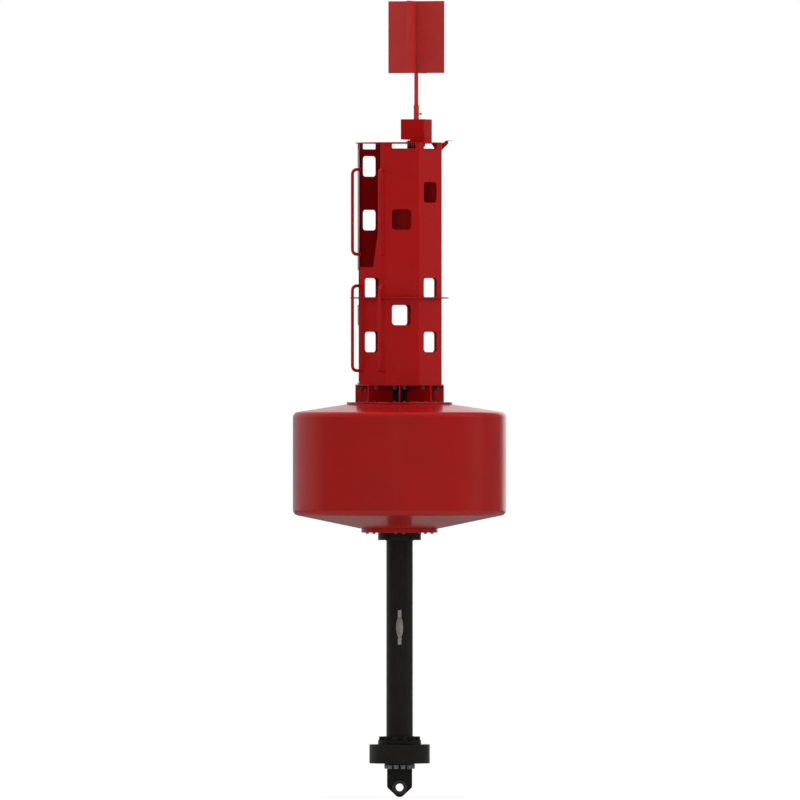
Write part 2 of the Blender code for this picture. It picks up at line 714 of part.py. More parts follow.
def tower_cutters(shop):
    """Return the cutters for the tower's windows, top notches, doorway and side hatches."""
    through = 8 * TOWER_WALL
    half_width = WINDOW_WIDTH / 2
    half_height = WINDOW_HEIGHT / 2
    window = shop.prism(
        rounded(rectangle(-half_width, half_width, -half_height, half_height), [WINDOW_CORNER_RADIUS] * 4),
        through,
    )
    first_row = TOWER_BASE + FIRST_WINDOW_RISE
    pieces = [(window, face_matrix(face, first_row + row * WINDOW_PITCH)) for face, row in WINDOWS]

    notch_radii = [NOTCH_CORNER_RADIUS, NOTCH_CORNER_RADIUS, 0, 0]
    for face in range(TOWER_FACES):
        if face == CLIMBING_FACE:
            continue
        right = half_width
        if face == FRONT_FACE:
            right += FRONT_NOTCH_EXTENSION
        outline = rectangle(-half_width, right, -NOTCH_DEPTH, NOTCH_DEPTH)
        notch = shop.prism(rounded(outline, notch_radii), through)
        pieces.append((notch, face_matrix(face, TOWER_TOP)))

    left = -INNER_HALF_WIDTH
    doorway_outline = [
        (left, DOORWAY_SILL_RISE),
        (DOORWAY_SILL_RIGHT, DOORWAY_SILL_RISE),
        (DOORWAY_TOP_RIGHT, DOORWAY_SILL_RISE + DOORWAY_SLANT_RISE),
        (DOORWAY_TOP_RIGHT, TOWER_HEIGHT + NOTCH_DEPTH),
        (left, TOWER_HEIGHT + NOTCH_DEPTH),
    ]
    doorway = shop.prism(doorway_outline, 2 * TOWER_WALL)
    pieces.append((doorway, face_matrix(CLIMBING_FACE, TOWER_BASE)))

    bar_base = HATCH_BAR_TOP_RISE - HATCH_BAR_HEIGHT
    for bottom, top in ((HATCH_SILL, bar_base), (HATCH_BAR_TOP_RISE, HATCH_TOP_RISE)):
        outline = rectangle(-FACE_HALF_WIDTH - HATCH_WRAP, INNER_HALF_WIDTH, bottom, top)
        hatch = shop.prism(rounded(outline, [HATCH_CORNER_RADIUS] * 4), 4 * HATCH_WRAP)
        pieces.append((hatch, face_matrix(LEFT_FACE, TOWER_BASE)))
    return pieces


def build_tower(shop):
    """Make the folded shell with its cut-outs, its base flange inside, and the step ring."""
    corner_radius = TOWER_APOTHEM / math.cos(FACE_STEP / 2)
    bpy.ops.mesh.primitive_cylinder_add(
        vertices=TOWER_FACES, radius=corner_radius, depth=TOWER_HEIGHT, end_fill_type="NOTHING"
    )
    drum = bpy.context.object
    mesh = drum.data.copy()
    bpy.data.objects.remove(drum, do_unlink=True)
    mesh.transform(Matrix.Rotation(FACE_STEP / 2, 4, "Z"))
    middle = TOWER_BASE + TOWER_HEIGHT / 2
    shell = shop.place("tower_shell", mesh, shop.red_paint, shop.tower_axis, (0, 0, middle))
    wall = shell.modifiers.new("wall", "SOLIDIFY")
    wall.thickness = TOWER_WALL
    wall.offset = -1
    wall.use_even_offset = True
    shop.cut(shell, tower_cutters(shop), shop.tower_axis)

    outlines = [
        polygon(TOWER_APOTHEM - TOWER_WALL - SEAT_GAP, TOWER_FACES),
        circle(BASE_FLANGE_BORE_RADIUS, TUBE_STEPS),
    ]
    flange = shop.solid_plate(
        "tower_base_flange", outlines, BASE_FLANGE_THICKNESS, TOWER_BASE, shop.red_paint, shop.tower_axis
    )
    flange_top = TOWER_BASE + BASE_FLANGE_THICKNESS
    places = around(TOWER_BOLT_CIRCLE_RADIUS, paired_angles(TOWER_BOLT_SPLAY))
    head_top = flange_top + TOWER_BOLT_HEAD
    shop.fuse_heads(flange, places, TOWER_BOLT_FLATS, flange_top - FUSE_DEPTH, head_top)

    outlines = [circle(STEP_RING_RADIUS, PLATE_STEPS), polygon(TOWER_APOTHEM + SEAT_GAP, TOWER_FACES)]
    height = TOWER_BASE + STEP_RING_RISE
    shop.plate("step_ring", outlines, STEP_RING_THICKNESS, height, shop.red_paint, shop.tower_axis)


def build_rail(shop, name, base, side):
    """Make one bent grab rail, welded at a corner of the climbing face."""
    low = RAIL_RADIUS
    high = RAIL_HEIGHT - RAIL_RADIUS
    corners = [
        (SEAT_GAP, low),
        (RAIL_STUB, low),
        (RAIL_STANDOFF, low),
        (RAIL_STANDOFF, high),
        (RAIL_STUB, high),
        (SEAT_GAP, high),
    ]
    path = rounded(corners, [0, 0, RAIL_BEND_RADIUS, RAIL_BEND_RADIUS, 0, 0], 5)
    frame = face_matrix(CLIMBING_FACE, base)
    surface = TOWER_WALL / 2
    foot_offset = FACE_HALF_WIDTH - RAIL_FOOT_INSET
    points = []
    for out, height in path:
        share = max(0, out - RAIL_STUB) / (RAIL_STANDOFF - RAIL_STUB)
        offset = foot_offset + RAIL_SPLAY * share
        points.append(frame @ Vector((side * offset, height, surface + out)))
    shop.tube_path(name, points, RAIL_RADIUS, shop.red_paint, shop.tower_axis)


def build_top(shop):
    """Make the lantern plate, and the bracket with its pad and web at the right edge."""
    spread = FOOT_BOLT_SPACING / 2
    turn = Matrix.Rotation(MAST_TURN, 2)
    corners = rectangle(-spread, spread, -spread, spread)
    places = [turn @ Vector(corner) + Vector((MAST_OFFSET, 0)) for corner in corners]
    outlines = [circle(LANTERN_PLATE_RADIUS, PLATE_STEPS)] + hole_outlines(places)
    shop.plate("lantern_plate", outlines, LANTERN_PLATE_THICKNESS, LANTERN_PLATE_BASE, shop.red_paint)

    wall = TOWER_APOTHEM + SEAT_GAP
    under = LANTERN_PLATE_BASE - SEAT_GAP
    rim = LANTERN_PLATE_RADIUS + SEAT_GAP
    nose = wall + BRACKET_REACH
    pad_base = LANTERN_PLATE_TOP + BRACKET_RISE
    arm = [
        (wall, TOWER_TOP - BRACKET_DROP),
        (nose, LANTERN_PLATE_BASE),
        (nose, pad_base),
        (nose - BRACKET_NOSE, pad_base),
        (rim, LANTERN_PLATE_TOP),
        (rim, under),
        (wall, under),
    ]
    shop.upright("side_bracket", [arm], BRACKET_THICKNESS, shop.red_paint, shop.tower_axis)
    pad_inner = nose - BRACKET_NOSE
    half = BRACKET_PAD_WIDTH / 2
    shop.plate(
        "side_bracket_pad",
        [rectangle(pad_inner, pad_inner + BRACKET_PAD_LENGTH, -half, half)],
        BRACKET_PAD_THICKNESS,
        pad_base + SEAT_GAP,
        shop.red_paint,
        shop.tower_axis,
    )
    inside = TOWER_APOTHEM - TOWER_WALL - SEAT_GAP
    web = [(inside, TOWER_TOP - WEB_DROP), (inside, under), (inside - WEB_REACH, under)]
    shop.upright("side_bracket_web", [web], BRACKET_THICKNESS, shop.red_paint, shop.tower_axis)


def build_mast(shop):
    """Make the mast's foot and its bolts, the hood, the sleeve with its screw, and the mast."""
    axis = shop.mast_axis
    half = FOOT_WIDTH / 2
    spread = FOOT_BOLT_SPACING / 2
    places = rectangle(-spread, spread, -spread, spread)
    foot = rounded(rectangle(-half, half, -half, half), [HOOD_FOLD_RADIUS] * 4)
    shop.plate(
        "mast_foot", [foot] + hole_outlines(places), FOOT_THICKNESS, FOOT_BASE, shop.red_paint, axis
    )
    profile = bolt_profile(
        FOOT_BOLT_FLATS,
        FOOT_BOLT_HEAD,
        FOOT_BOLT_NUT,
        FOOT_BOLT_RADIUS,
        FOOT_TOP + SEAT_GAP,
        LANTERN_PLATE_BASE - SEAT_GAP,
    )
    for index, (x, y) in enumerate(places):
        name = f"mast_foot_bolt_{index + 1}"
        shop.turned(name, profile, HEX_STEPS, shop.steel, parent=axis, location=(x, y, 0))

    build_hood(shop, axis)

    sleeve_top = MAST_BASE + SLEEVE_LENGTH
    sleeve_bore = MAST_RADIUS + SLEEVE_BORE_GAP
    sleeve = shop.ring(
        "mast_sleeve", SLEEVE_RADIUS, sleeve_bore, MAST_BASE, sleeve_top, SMALL_STEPS, shop.red_paint, axis
    )
    screw_height = MAST_BASE + CLAMP_SCREW_RISE
    across = Matrix.Translation((SLEEVE_RADIUS, 0, screw_height)) @ Matrix.Rotation(math.pi / 2, 4, "Y")
    hole = shop.prism(circle(CLAMP_SCREW_RADIUS + HOLE_GAP, SMALL_STEPS), SLEEVE_RADIUS)
    shop.cut(sleeve, [(hole, across)], axis)
    head_base = SLEEVE_RADIUS + CLAMP_SCREW_STANDOFF
    corner = CLAMP_SCREW_FLATS / math.sqrt(3)
    screw_profile = [
        (0, head_base + CLAMP_SCREW_HEAD),
        (corner, head_base + CLAMP_SCREW_HEAD),
        (corner, head_base),
        (CLAMP_SCREW_RADIUS, head_base),
        (CLAMP_SCREW_RADIUS, MAST_RADIUS + SEAT_GAP),
        (0, MAST_RADIUS + SEAT_GAP),
    ]
    shop.turned(
        "mast_clamp_screw",
        screw_profile,
        HEX_STEPS,
        shop.steel,
        parent=axis,
        location=(0, 0, screw_height),
        rotation=(0, math.pi / 2, 0),
    )
    shop.ring(
        "topmark_mast",
        MAST_RADIUS,
        MAST_RADIUS - MAST_WALL,
        MAST_BASE,
        MAST_TOP,
        SMALL_STEPS,
        shop.red_paint,
        axis,
    )


def build_hood(shop, axis):
    """Make the square folded hood around the mast's foot, open below, with a cable passage."""
    bpy.ops.mesh.primitive_cube_add(size=1)
    block = bpy.context.object
    mesh = block.data.copy()
    bpy.data.objects.remove(block, do_unlink=True)
    mesh.transform(Matrix.Diagonal((HOOD_WIDTH, HOOD_WIDTH, HOOD_HEIGHT, 1)))
    work = bmesh.new()
    work.from_mesh(mesh)
    folds = [edge for edge in work.edges if max(vert.co.z for vert in edge.verts) > 0]
    bmesh.ops.bevel(work, geom=folds, offset=HOOD_FOLD_RADIUS, segments=2, affect="EDGES", profile=0.5)
    bottom = [face for face in work.faces if face.normal.z < -0.5]
    bmesh.ops.delete(work, geom=bottom, context="FACES_ONLY")
    work.to_mesh(mesh)
    work.free()
    hood = shop.place("mast_hood", mesh, shop.red_paint, axis, (0, 0, HOOD_BASE + HOOD_HEIGHT / 2))
    wall = hood.modifiers.new("wall", "SOLIDIFY")
    wall.thickness = HOOD_WALL
    wall.offset = -1
    wall.use_even_offset = True

    neck = shop.prism(circle(SLEEVE_RADIUS + SEAT_GAP, SMALL_STEPS), 4 * HOOD_FOLD_RADIUS)
    passage = shop.prism(
        rectangle(-HOOD_WIDTH, -HOOD_PASSAGE_OFFSET, -HOOD_WIDTH, HOOD_WIDTH),
        2 * HOOD_PASSAGE_HEIGHT,
    )
    pieces = [
        (neck, Matrix.Translation((0, 0, HOOD_BASE + HOOD_HEIGHT))),
        (passage, Matrix.Translation((0, 0, HOOD_BASE))),
    ]
    shop.cut(hood, pieces, axis)


def build_topmark(shop):
    """Make the can topmark: two crossed plates, each slotted to half its height over the other."""
    half = TOPMARK_WIDTH / 2
    slot = TOPMARK_THICKNESS / 2 + SEAT_GAP
    top = TOPMARK_BASE + TOPMARK_HEIGHT
    middle = TOPMARK_BASE + TOPMARK_HEIGHT / 2
    slotted_below = [
        (-half, TOPMARK_BASE),
        (-slot, TOPMARK_BASE),
        (-slot, middle + SEAT_GAP),
        (slot, middle + SEAT_GAP),
        (slot, TOPMARK_BASE),
        (half, TOPMARK_BASE),
        (half, top),
        (-half, top),
    ]
    slotted_above = [
        (-half, TOPMARK_BASE),
        (half, TOPMARK_BASE),
        (half, top),
        (slot, top),
        (slot, middle),
        (-slot, middle),
        (-slot, top),
        (-half, top),
    ]
    axis = shop.mast_axis
    shop.upright("topmark_plate_wide", [slotted_below], TOPMARK_THICKNESS, shop.red_paint, axis)
    shop.upright(
        "topmark_plate_cross", [slotted_above], TOPMARK_THICKNESS, shop.red_paint, axis, math.pi / 2
    )


def main():
    """Build the whole buoy from the lug upwards."""
    shop = Workshop()
    build_mooring(shop)
    build_ballast(shop)
    build_tail(shop)
    build_anode(shop, "front", 0)
    build_anode(shop, "back", math.pi)
    build_float(shop)
    build_collar(shop)
    build_tower(shop)
    for level, rise in (("lower", LOWER_RAIL_RISE), ("upper", UPPER_RAIL_RISE)):
        build_rail(shop, f"rail_{level}_left", TOWER_BASE + rise, -1)
        build_rail(shop, f"rail_{level}_right", TOWER_BASE + rise, 1)
    build_top(shop)
    build_mast(shop)
    build_topmark(shop)


main()
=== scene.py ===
"""Looks of the elastomer buoy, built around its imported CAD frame.

Metres, +Z up the buoy's axis, -Y to the front, the mooring lug's tip at the origin.
Each sub-assembly is a class that makes its pieces and gives them their finishes.
"""

import logging
import math
from contextlib import contextmanager
from dataclasses import dataclass, field
from enum import Enum
from typing import Callable, Iterator, Sequence

import bmesh
import bpy
from mathutils import Matrix, Vector


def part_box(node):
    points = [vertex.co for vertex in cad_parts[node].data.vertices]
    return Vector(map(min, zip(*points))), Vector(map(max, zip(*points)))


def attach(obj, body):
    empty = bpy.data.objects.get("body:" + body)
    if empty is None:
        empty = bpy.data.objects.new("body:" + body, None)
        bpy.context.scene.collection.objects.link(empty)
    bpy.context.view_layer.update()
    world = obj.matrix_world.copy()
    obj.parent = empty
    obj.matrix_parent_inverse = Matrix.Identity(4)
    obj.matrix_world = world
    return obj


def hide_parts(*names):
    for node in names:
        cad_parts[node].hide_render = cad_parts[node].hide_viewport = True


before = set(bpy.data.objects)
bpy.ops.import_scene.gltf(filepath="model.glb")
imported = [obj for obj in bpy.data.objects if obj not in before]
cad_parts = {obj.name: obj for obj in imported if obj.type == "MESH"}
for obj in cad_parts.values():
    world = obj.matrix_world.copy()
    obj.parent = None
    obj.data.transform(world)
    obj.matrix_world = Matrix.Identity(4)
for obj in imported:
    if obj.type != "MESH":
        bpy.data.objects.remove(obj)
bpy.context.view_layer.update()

LOG = logging.getLogger("buoy")

Profile = Sequence[tuple[float, float]]
Stops = Sequence[tuple[float, float]]

MM = 0.001
MERGE = 0.00001
FULL_TURN = 2 * math.pi
ROOT_BODY = "root"

# The least angle between two faces that counts as an edge, and the most that counts as flat.
EDGE_DEG = 32.0
FLAT_DEG = 0.6

# The side of the small plane that is merged to a turned profile's first corner.
SEED_SIZE = 0.01

# Gussets in the collar. The clamp plates and the collar's ring have two bolts beside each.
GUSSETS = 8

# Sockets of Blender's Mix node, by number because its number and colour sockets share names.
MIX_FACTOR = 0
MIX_LOW = 2
MIX_HIGH = 3
MIX_FIRST_COLOUR = 6
MIX_SECOND_COLOUR = 7
MIX_COLOUR_OUT = 2

# How the noises of the finishes break up, and the stretch of each that is used.
PATCH_NOISE = {"Detail": 3.0, "Roughness": 0.55}
PATCH_STRETCH = {"From Min": 0.3, "From Max": 0.7}
GRAIN_NOISE = {"Detail": 2.0, "Roughness": 0.5}
PIT_STRETCH = {"From Max": 0.45}


class Slot(Enum):
    """The record's material slots."""

    RED_PAINT = "red_paint"
    BLACK_PAINT = "black_paint"
    RED_SKIN = "red_elastomer"
    ZINC = "zinc"
    STEEL = "galvanised_steel"


class Side(Enum):
    """The side of a plate on which its bolt heads lie."""

    ABOVE = 1
    BELOW = -1


class Element(Enum):
    """A kind of mesh element, and the name of its list in a mesh."""

    VERT = "verts"
    EDGE = "edges"
    FACE = "faces"


def linear(code: str) -> tuple[float, float, float, float]:
    """Turn an sRGB hex colour into the linear colour that a shader takes.

    Args:
        code: Six hex digits after a hash sign.

    Returns:
        Red, green, blue and an alpha of 1.
    """
    parts = [int(code[index:index + 2], 16) / 255 for index in (1, 3, 5)]
    red, green, blue = (
        part / 12.92 if part <= 0.04045 else ((part + 0.055) / 1.055) ** 2.4 for part in parts
    )
    return red, green, blue, 1.0


def add_node(
    tree: bpy.types.NodeTree,
    kind: str,
    inputs: dict[str | int, object] | None = None,
    **settings: object,
) -> bpy.types.Node:
    """Add a shader node, set its properties, and fill or link its inputs.

    Args:
        tree: The node tree that takes the node.
        kind: The node's type name.
        inputs: Input name or number to a value or to the socket that feeds it.
        settings: The node's properties.

    Returns:
        The new node.
    """
    item = tree.nodes.new(kind)
    for key, value in settings.items():
        setattr(item, key, value)
    for key, value in (inputs or {}).items():
        if isinstance(value, bpy.types.NodeSocket):
            tree.links.new(value, item.inputs[key])
        else:
            item.inputs[key].default_value = value
    return item


def set_stops(ramp: bpy.types.ColorRamp, stops: Stops) -> None:
    """Give a ramp its stops.

    Args:
        ramp: The ramp of a Color Ramp node.
        stops: Each stop's place along the ramp and its level of grey.
    """
    while len(ramp.elements) < len(stops):
        ramp.elements.new(0.5)
    for element, (position, level) in zip(ramp.elements, stops):
        element.position = position
        element.color = (level, level, level, 1.0)


@dataclass(frozen=True)
class Finish:
    """A surface finish: two close colours in soft patches, over a fine relief."""

    name: str
    slot: Slot
    colour: str
    shade: str
    roughness: float
    rough_spread: float
    patch_mm: float
    grain_mm: float
    grain_depth_mm: float
    metallic: float = 0.0
    specular: float = 0.5

    def material(self) -> bpy.types.Material:
        """Return the finish's material, made on the first call."""
        known = bpy.data.materials.get(self.name)
        return known or self.make()

    def make(self) -> bpy.types.Material:
        """Make the node material.

        Returns:
            The material, on Object coordinates, with its pattern sizes in real millimetres.
        """
        made = bpy.data.materials.new(self.name)
        made.use_nodes = True
        tree = made.node_tree
        shader = tree.nodes["Principled BSDF"]
        place = add_node(tree, "ShaderNodeTexCoord").outputs["Object"]
        patches = self.patches(tree, place)
        blend = add_node(
            tree,
            "ShaderNodeMix",
            {
                MIX_FACTOR: patches,
                MIX_FIRST_COLOUR: linear(self.colour),
                MIX_SECOND_COLOUR: linear(self.shade),
            },
            data_type="RGBA",
        )
        rough = add_node(
            tree,
            "ShaderNodeMapRange",
            {
                "Value": patches,
                "To Min": self.roughness - self.rough_spread,
                "To Max": self.roughness + self.rough_spread,
            },
        )
        relief = add_node(
            tree,
            "ShaderNodeBump",
            {
                "Height": self.grain(tree, place),
                "Distance": self.grain_depth_mm * MM,
                "Strength": 1.0,
            },
        )
        tree.links.new(blend.outputs[MIX_COLOUR_OUT], shader.inputs["Base Color"])
        tree.links.new(rough.outputs[0], shader.inputs["Roughness"])
        tree.links.new(relief.outputs[0], shader.inputs["Normal"])
        shader.inputs["Metallic"].default_value = self.metallic
        shader.inputs["Specular IOR Level"].default_value = self.specular
        return made

    def patches(
        self, tree: bpy.types.NodeTree, place: bpy.types.NodeSocket
    ) -> bpy.types.NodeSocket:
        """Add soft patches of the finish's patch size.

        Args:
            tree: The material's node tree.
            place: The coordinates.

        Returns:
            A socket that runs from 0 to 1.
        """
        noise = add_node(
            tree,
            "ShaderNodeTexNoise",
            {"Vector": place, "Scale": 1 / (self.patch_mm * MM), **PATCH_NOISE},
        )
        spread = add_node(tree, "ShaderNodeMapRange", {"Value": noise.outputs[0], **PATCH_STRETCH})
        return spread.outputs[0]

    def grain(
        self, tree: bpy.types.NodeTree, place: bpy.types.NodeSocket
    ) -> bpy.types.NodeSocket:
        """Add the fine relief, a noise of the finish's grain size.

        Args:
            tree: The material's node tree.
            place: The coordinates.

        Returns:
            The socket of the relief's height.
        """
        noise = add_node(
            tree,
            "ShaderNodeTexNoise",
            {"Vector": place, "Scale": 1 / (self.grain_mm * MM), **GRAIN_NOISE},
        )
        return noise.outputs[0]


@dataclass(frozen=True)
class SpangledZinc(Finish):
    """Hot-dip zinc on steel, whose crystals show as flat pale and dark cells."""

    def patches(
        self, tree: bpy.types.NodeTree, place: bpy.types.NodeSocket
    ) -> bpy.types.NodeSocket:
        """Add flat cells of the spangle's size, each of one value.

        Args:
            tree: The material's node tree.
            place: The coordinates.

        Returns:
            A socket that runs from 0 to 1.
        """
        cells = add_node(
            tree, "ShaderNodeTexVoronoi", {"Vector": place, "Scale": 1 / (self.patch_mm * MM)}
        )
        value = add_node(tree, "ShaderNodeSeparateColor", {"Color": cells.outputs["Color"]})
        return value.outputs[0]


@dataclass(frozen=True)
class CastZinc(Finish):
    """Cast anode zinc, dull and pitted from the mould."""

    def grain(
        self, tree: bpy.types.NodeTree, place: bpy.types.NodeSocket
    ) -> bpy.types.NodeSocket:
        """Add shallow round pits of the finish's grain size.

        Args:
            tree: The material's node tree.
            place: The coordinates.

        Returns:
            The socket of the relief's height.
        """
        pits = add_node(
            tree, "ShaderNodeTexVoronoi", {"Vector": place, "Scale": 1 / (self.grain_mm * MM)}
        )
        rim = add_node(
            tree, "ShaderNodeMapRange", {"Value": pits.outputs["Distance"], **PIT_STRETCH}
        )
        return rim.outputs[0]


# Two-pack polyurethane topcoat sprayed on steel: an even red with a satin gloss. Its orange
# peel is about 2 mm from crest to crest, drawn at 6 mm so that it shows.
RED_PAINT = Finish(
    name="red_polyurethane_topcoat",
    slot=Slot.RED_PAINT,
    colour="#9A090A",
    shade="#950708",
    roughness=0.25,
    rough_spread=0.03,
    patch_mm=420,
    grain_mm=6,
    grain_depth_mm=0.05,
)

# The same topcoat on the topmark and its mast, paler and flatter: the paler colour is a painted sheen.
SHEEN_RED = Finish(
    name="chalked_red_topcoat",
    slot=Slot.RED_PAINT,
    colour="#A82A27",
    shade="#A02623",
    roughness=0.42,
    rough_spread=0.05,
    patch_mm=300,
    grain_mm=6,
    grain_depth_mm=0.05,
)

# Red powder coat on the folded hood: flat, so that its faces stay a full red.
FLAT_RED = Finish(
    name="flat_red_powder_coat",
    slot=Slot.RED_PAINT,
    colour="#9C0607",
    shade="#8E0506",
    roughness=0.50,
    rough_spread=0.05,
    patch_mm=180,
    grain_mm=4,
    grain_depth_mm=0.05,
    specular=0.15,
)

# Sprayed polyurethane elastomer over foam: a thick skin with a soft gloss and a fine stipple,
# about 3 mm from crest to crest, drawn at 9 mm so that it shows.
RED_SKIN = Finish(
    name="sprayed_elastomer_skin",
    slot=Slot.RED_SKIN,
    colour="#911614",
    shade="#8B1311",
    roughness=0.22,
    rough_spread=0.03,
    patch_mm=520,
    grain_mm=9,
    grain_depth_mm=0.10,
)

# Black epoxy on steel: nearly black, satin, with the same orange peel as the topcoat.
BLACK_PAINT = Finish(
    name="black_epoxy_paint",
    slot=Slot.BLACK_PAINT,
    colour="#141210",
    shade="#1A1816",
    roughness=0.38,
    rough_spread=0.05,
    patch_mm=260,
    grain_mm=6,
    grain_depth_mm=0.05,
)

# The same epoxy, paler grey and duller on the lug's bosses: the paler colour is a painted highlight
# for the light that their rounded rings catch.
HIGHLIT_BOSS_BLACK = Finish(
    name="rubbed_black_epoxy",
    slot=Slot.BLACK_PAINT,
    colour="#2F2B2A",
    shade="#383433",
    roughness=0.48,
    rough_spread=0.06,
    patch_mm=40,
    grain_mm=6,
    grain_depth_mm=0.08,
)

# Anode zinc cast round its strap: dull grey with a bloom and pits 2 to 5 mm across.
ANODE_ZINC = CastZinc(
    name="cast_anode_zinc",
    slot=Slot.ZINC,
    colour="#A39C94",
    shade="#857E77",
    roughness=0.58,
    rough_spread=0.08,
    patch_mm=40,
    grain_mm=5,
    grain_depth_mm=0.6,
    metallic=0.55,
)

# Hot-dip galvanised bolts, still bright: a grey metal with a spangle of about 8 mm.
BRIGHT_ZINC = SpangledZinc(
    name="bright_galvanised_bolts",
    slot=Slot.STEEL,
    colour="#908F8F",
    shade="#7A797A",
    roughness=0.34,
    rough_spread=0.06,
    patch_mm=8,
    grain_mm=3,
    grain_depth_mm=0.04,
    metallic=0.80,
)

# Hot-dip galvanised steel that stands under water: its zinc has gone dull and pale.
DULL_ZINC = SpangledZinc(
    name="dull_galvanised_steel",
    slot=Slot.STEEL,
    colour="#AEB1B4",
    shade="#979B9E",
    roughness=0.50,
    rough_spread=0.06,
    patch_mm=8,
    grain_mm=3,
    grain_depth_mm=0.04,
    metallic=0.60,
)


def deselect_all() -> None:
    """Leave edit mode and deselect every object."""
    if bpy.context.object and bpy.context.object.mode != "OBJECT":
        bpy.ops.object.mode_set(mode="OBJECT")
    bpy.ops.object.select_all(action="DESELECT")


def make_active(item: bpy.types.Object) -> None:
    """Select one object alone and make it the active one.

    Args:
        item: The object.
    """
    deselect_all()
    item.select_set(True)
    bpy.context.view_layer.objects.active = item


@contextmanager
def editing(item: bpy.types.Object) -> Iterator[None]:
    """Open an object in edit mode with nothing selected, and close it again.

    Args:
        item: The object.
    """
    make_active(item)
    bpy.ops.object.mode_set(mode="EDIT")
    bpy.ops.mesh.select_mode(type="VERT")
    bpy.ops.mesh.select_all(action="DESELECT")
    yield
    bpy.ops.object.mode_set(mode="OBJECT")


def pick(item: bpy.types.Object, kind: Element, test: Callable[[object], bool]) -> None:
    """Select some elements of the object in edit mode, and no others.

    Args:
        item: The object.
        kind: The kind of element.
        test: Whether an element is selected.
    """
    bpy.ops.mesh.select_all(action="DESELECT")
    bpy.ops.mesh.select_mode(type=kind.name)
    mesh = bmesh.from_edit_mesh(item.data)
    for element in getattr(mesh, kind.value):
        element.select_set(test(element))
    bmesh.update_edit_mesh(item.data)


def named(name: str) -> bpy.types.Object:
    """Name the active object and its mesh.

    Args:
        name: The name of both.

    Returns:
        The object.
    """
    item = bpy.context.object
    item.name = name
    item.data.name = name
    return item


def settle(item: bpy.types.Object) -> bpy.types.Object:
    """Put an object's place, turn and size into its mesh.

    Args:
        item: The object.

    Returns:
        The object, at the origin.
    """
    make_active(item)
    bpy.ops.object.transform_apply(location=True, rotation=True, scale=True)
    return item


def soften(item: bpy.types.Object, width: float, segments: int = 2) -> None:
    """Round an object's edges and smooth the rest.

    Args:
        item: The object.
        width: How far the rounding reaches from each edge, in metres.
        segments: Faces across each rounded edge.
    """
    make_active(item)
    bevel = item.modifiers.new("soft_edges", "BEVEL")
    bevel.width = width
    bevel.segments = segments
    bevel.limit_method = "ANGLE"
    bevel.angle_limit = math.radians(EDGE_DEG)
    bevel.use_clamp_overlap = True
    bpy.ops.object.modifier_apply(modifier=bevel.name)
    smooth(item)


def smooth(item: bpy.types.Object, angle_deg: float = EDGE_DEG) -> None:
    """Shade an object smooth apart from its edges, and keep its flat faces flat.

    Args:
        item: The object.
        angle_deg: The least angle between two faces that stays an edge.
    """
    make_active(item)
    bpy.ops.object.shade_smooth_by_angle(angle=math.radians(angle_deg))
    weighted = item.modifiers.new("flat_faces", "WEIGHTED_NORMAL")
    weighted.mode = "FACE_AREA"
    weighted.keep_sharp = True
    bpy.ops.object.modifier_apply(modifier=weighted.name)


def refined(node: str, name: str) -> bpy.types.Object:
    """Copy a CAD node, merge its corners and make its flat faces whole again.

    Args:
        node: The CAD node.
        name: The copy's name.

    Returns:
        The copy, at the origin.
    """
    item = bpy.data.objects.new(name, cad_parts[node].data.copy())
    bpy.context.scene.collection.objects.link(item)
    with editing(item):
        bpy.ops.mesh.select_all(action="SELECT")
        bpy.ops.mesh.remove_doubles(threshold=MERGE)
        bpy.ops.mesh.dissolve_limited(angle_limit=math.radians(FLAT_DEG))
    return item


def turned(name: str, profile: Profile, steps: int) -> bpy.types.Object:
    """Turn a closed profile about the Z axis.

    Args:
        name: The object's name.
        profile: Corners as (radius, height), in order round the section.
        steps: Faces round the axis.

    Returns:
        The turned solid.
    """
    first_radius, first_height = profile[0]
    deselect_all()
    bpy.ops.mesh.primitive_plane_add(size=SEED_SIZE, location=(first_radius, 0, first_height))
    item = named(name)
    with editing(item):
        bpy.ops.mesh.select_all(action="SELECT")
        bpy.ops.mesh.merge(type="CENTER")
        corners = [*profile, profile[0]]
        for (radius, height), (next_radius, next_height) in zip(corners, corners[1:]):
            step = (next_radius - radius, 0, next_height - height)
            bpy.ops.mesh.extrude_vertices_move(TRANSFORM_OT_translate={"value": step})
        bpy.ops.mesh.select_all(action="SELECT")
        bpy.ops.mesh.remove_doubles(threshold=MERGE)
    settle(item)
    with editing(item):
        bpy.ops.mesh.select_all(action="SELECT")
        bpy.ops.mesh.spin(steps=steps, angle=FULL_TURN, center=(0, 0, 0), axis=(0, 0, 1))
        bpy.ops.mesh.select_all(action="SELECT")
        bpy.ops.mesh.remove_doubles(threshold=MERGE)
        bpy.ops.mesh.normals_make_consistent(inside=False)
    return item


def ring_profile(outer: float, inner: float, base: float, top: float) -> Profile:
    """Return the section of a ring or tube."""
    return [(inner, top), (outer, top), (outer, base), (inner, base)]


def joined(name: str, items: Sequence[bpy.types.Object]) -> bpy.types.Object:
    """Join objects into one.

    Args:
        name: The name of the one.
        items: The objects.

    Returns:
        The joined object.
    """
    make_active(items[0])
    for item in items:
        item.select_set(True)
    bpy.ops.object.join()
    return named(name)


def copies(
    source: bpy.types.Object, places: Sequence[Matrix], name: str, keep: bool = False
) -> bpy.types.Object:
    """Copy one modelled piece to several places, as one object.

    Args:
        source: The piece, at the origin.
        places: Where each copy goes.
        name: The joined object's name.
        keep: Whether the piece itself stays, for more copies.

    Returns:
        The joined copies.
    """
    made = []
    for place in places:
        item = bpy.data.objects.new(name, source.data.copy())
        item.data.transform(place)
        bpy.context.scene.collection.objects.link(item)
        made.append(item)
    if not keep:
        bpy.data.objects.remove(source, do_unlink=True)
    return joined(name, made)


def even_angles(count: int) -> list[float]:
    """Return the angles of evenly spaced bolts, the first half a space round."""
    return [FULL_TURN * (index + 0.5) / count for index in range(count)]


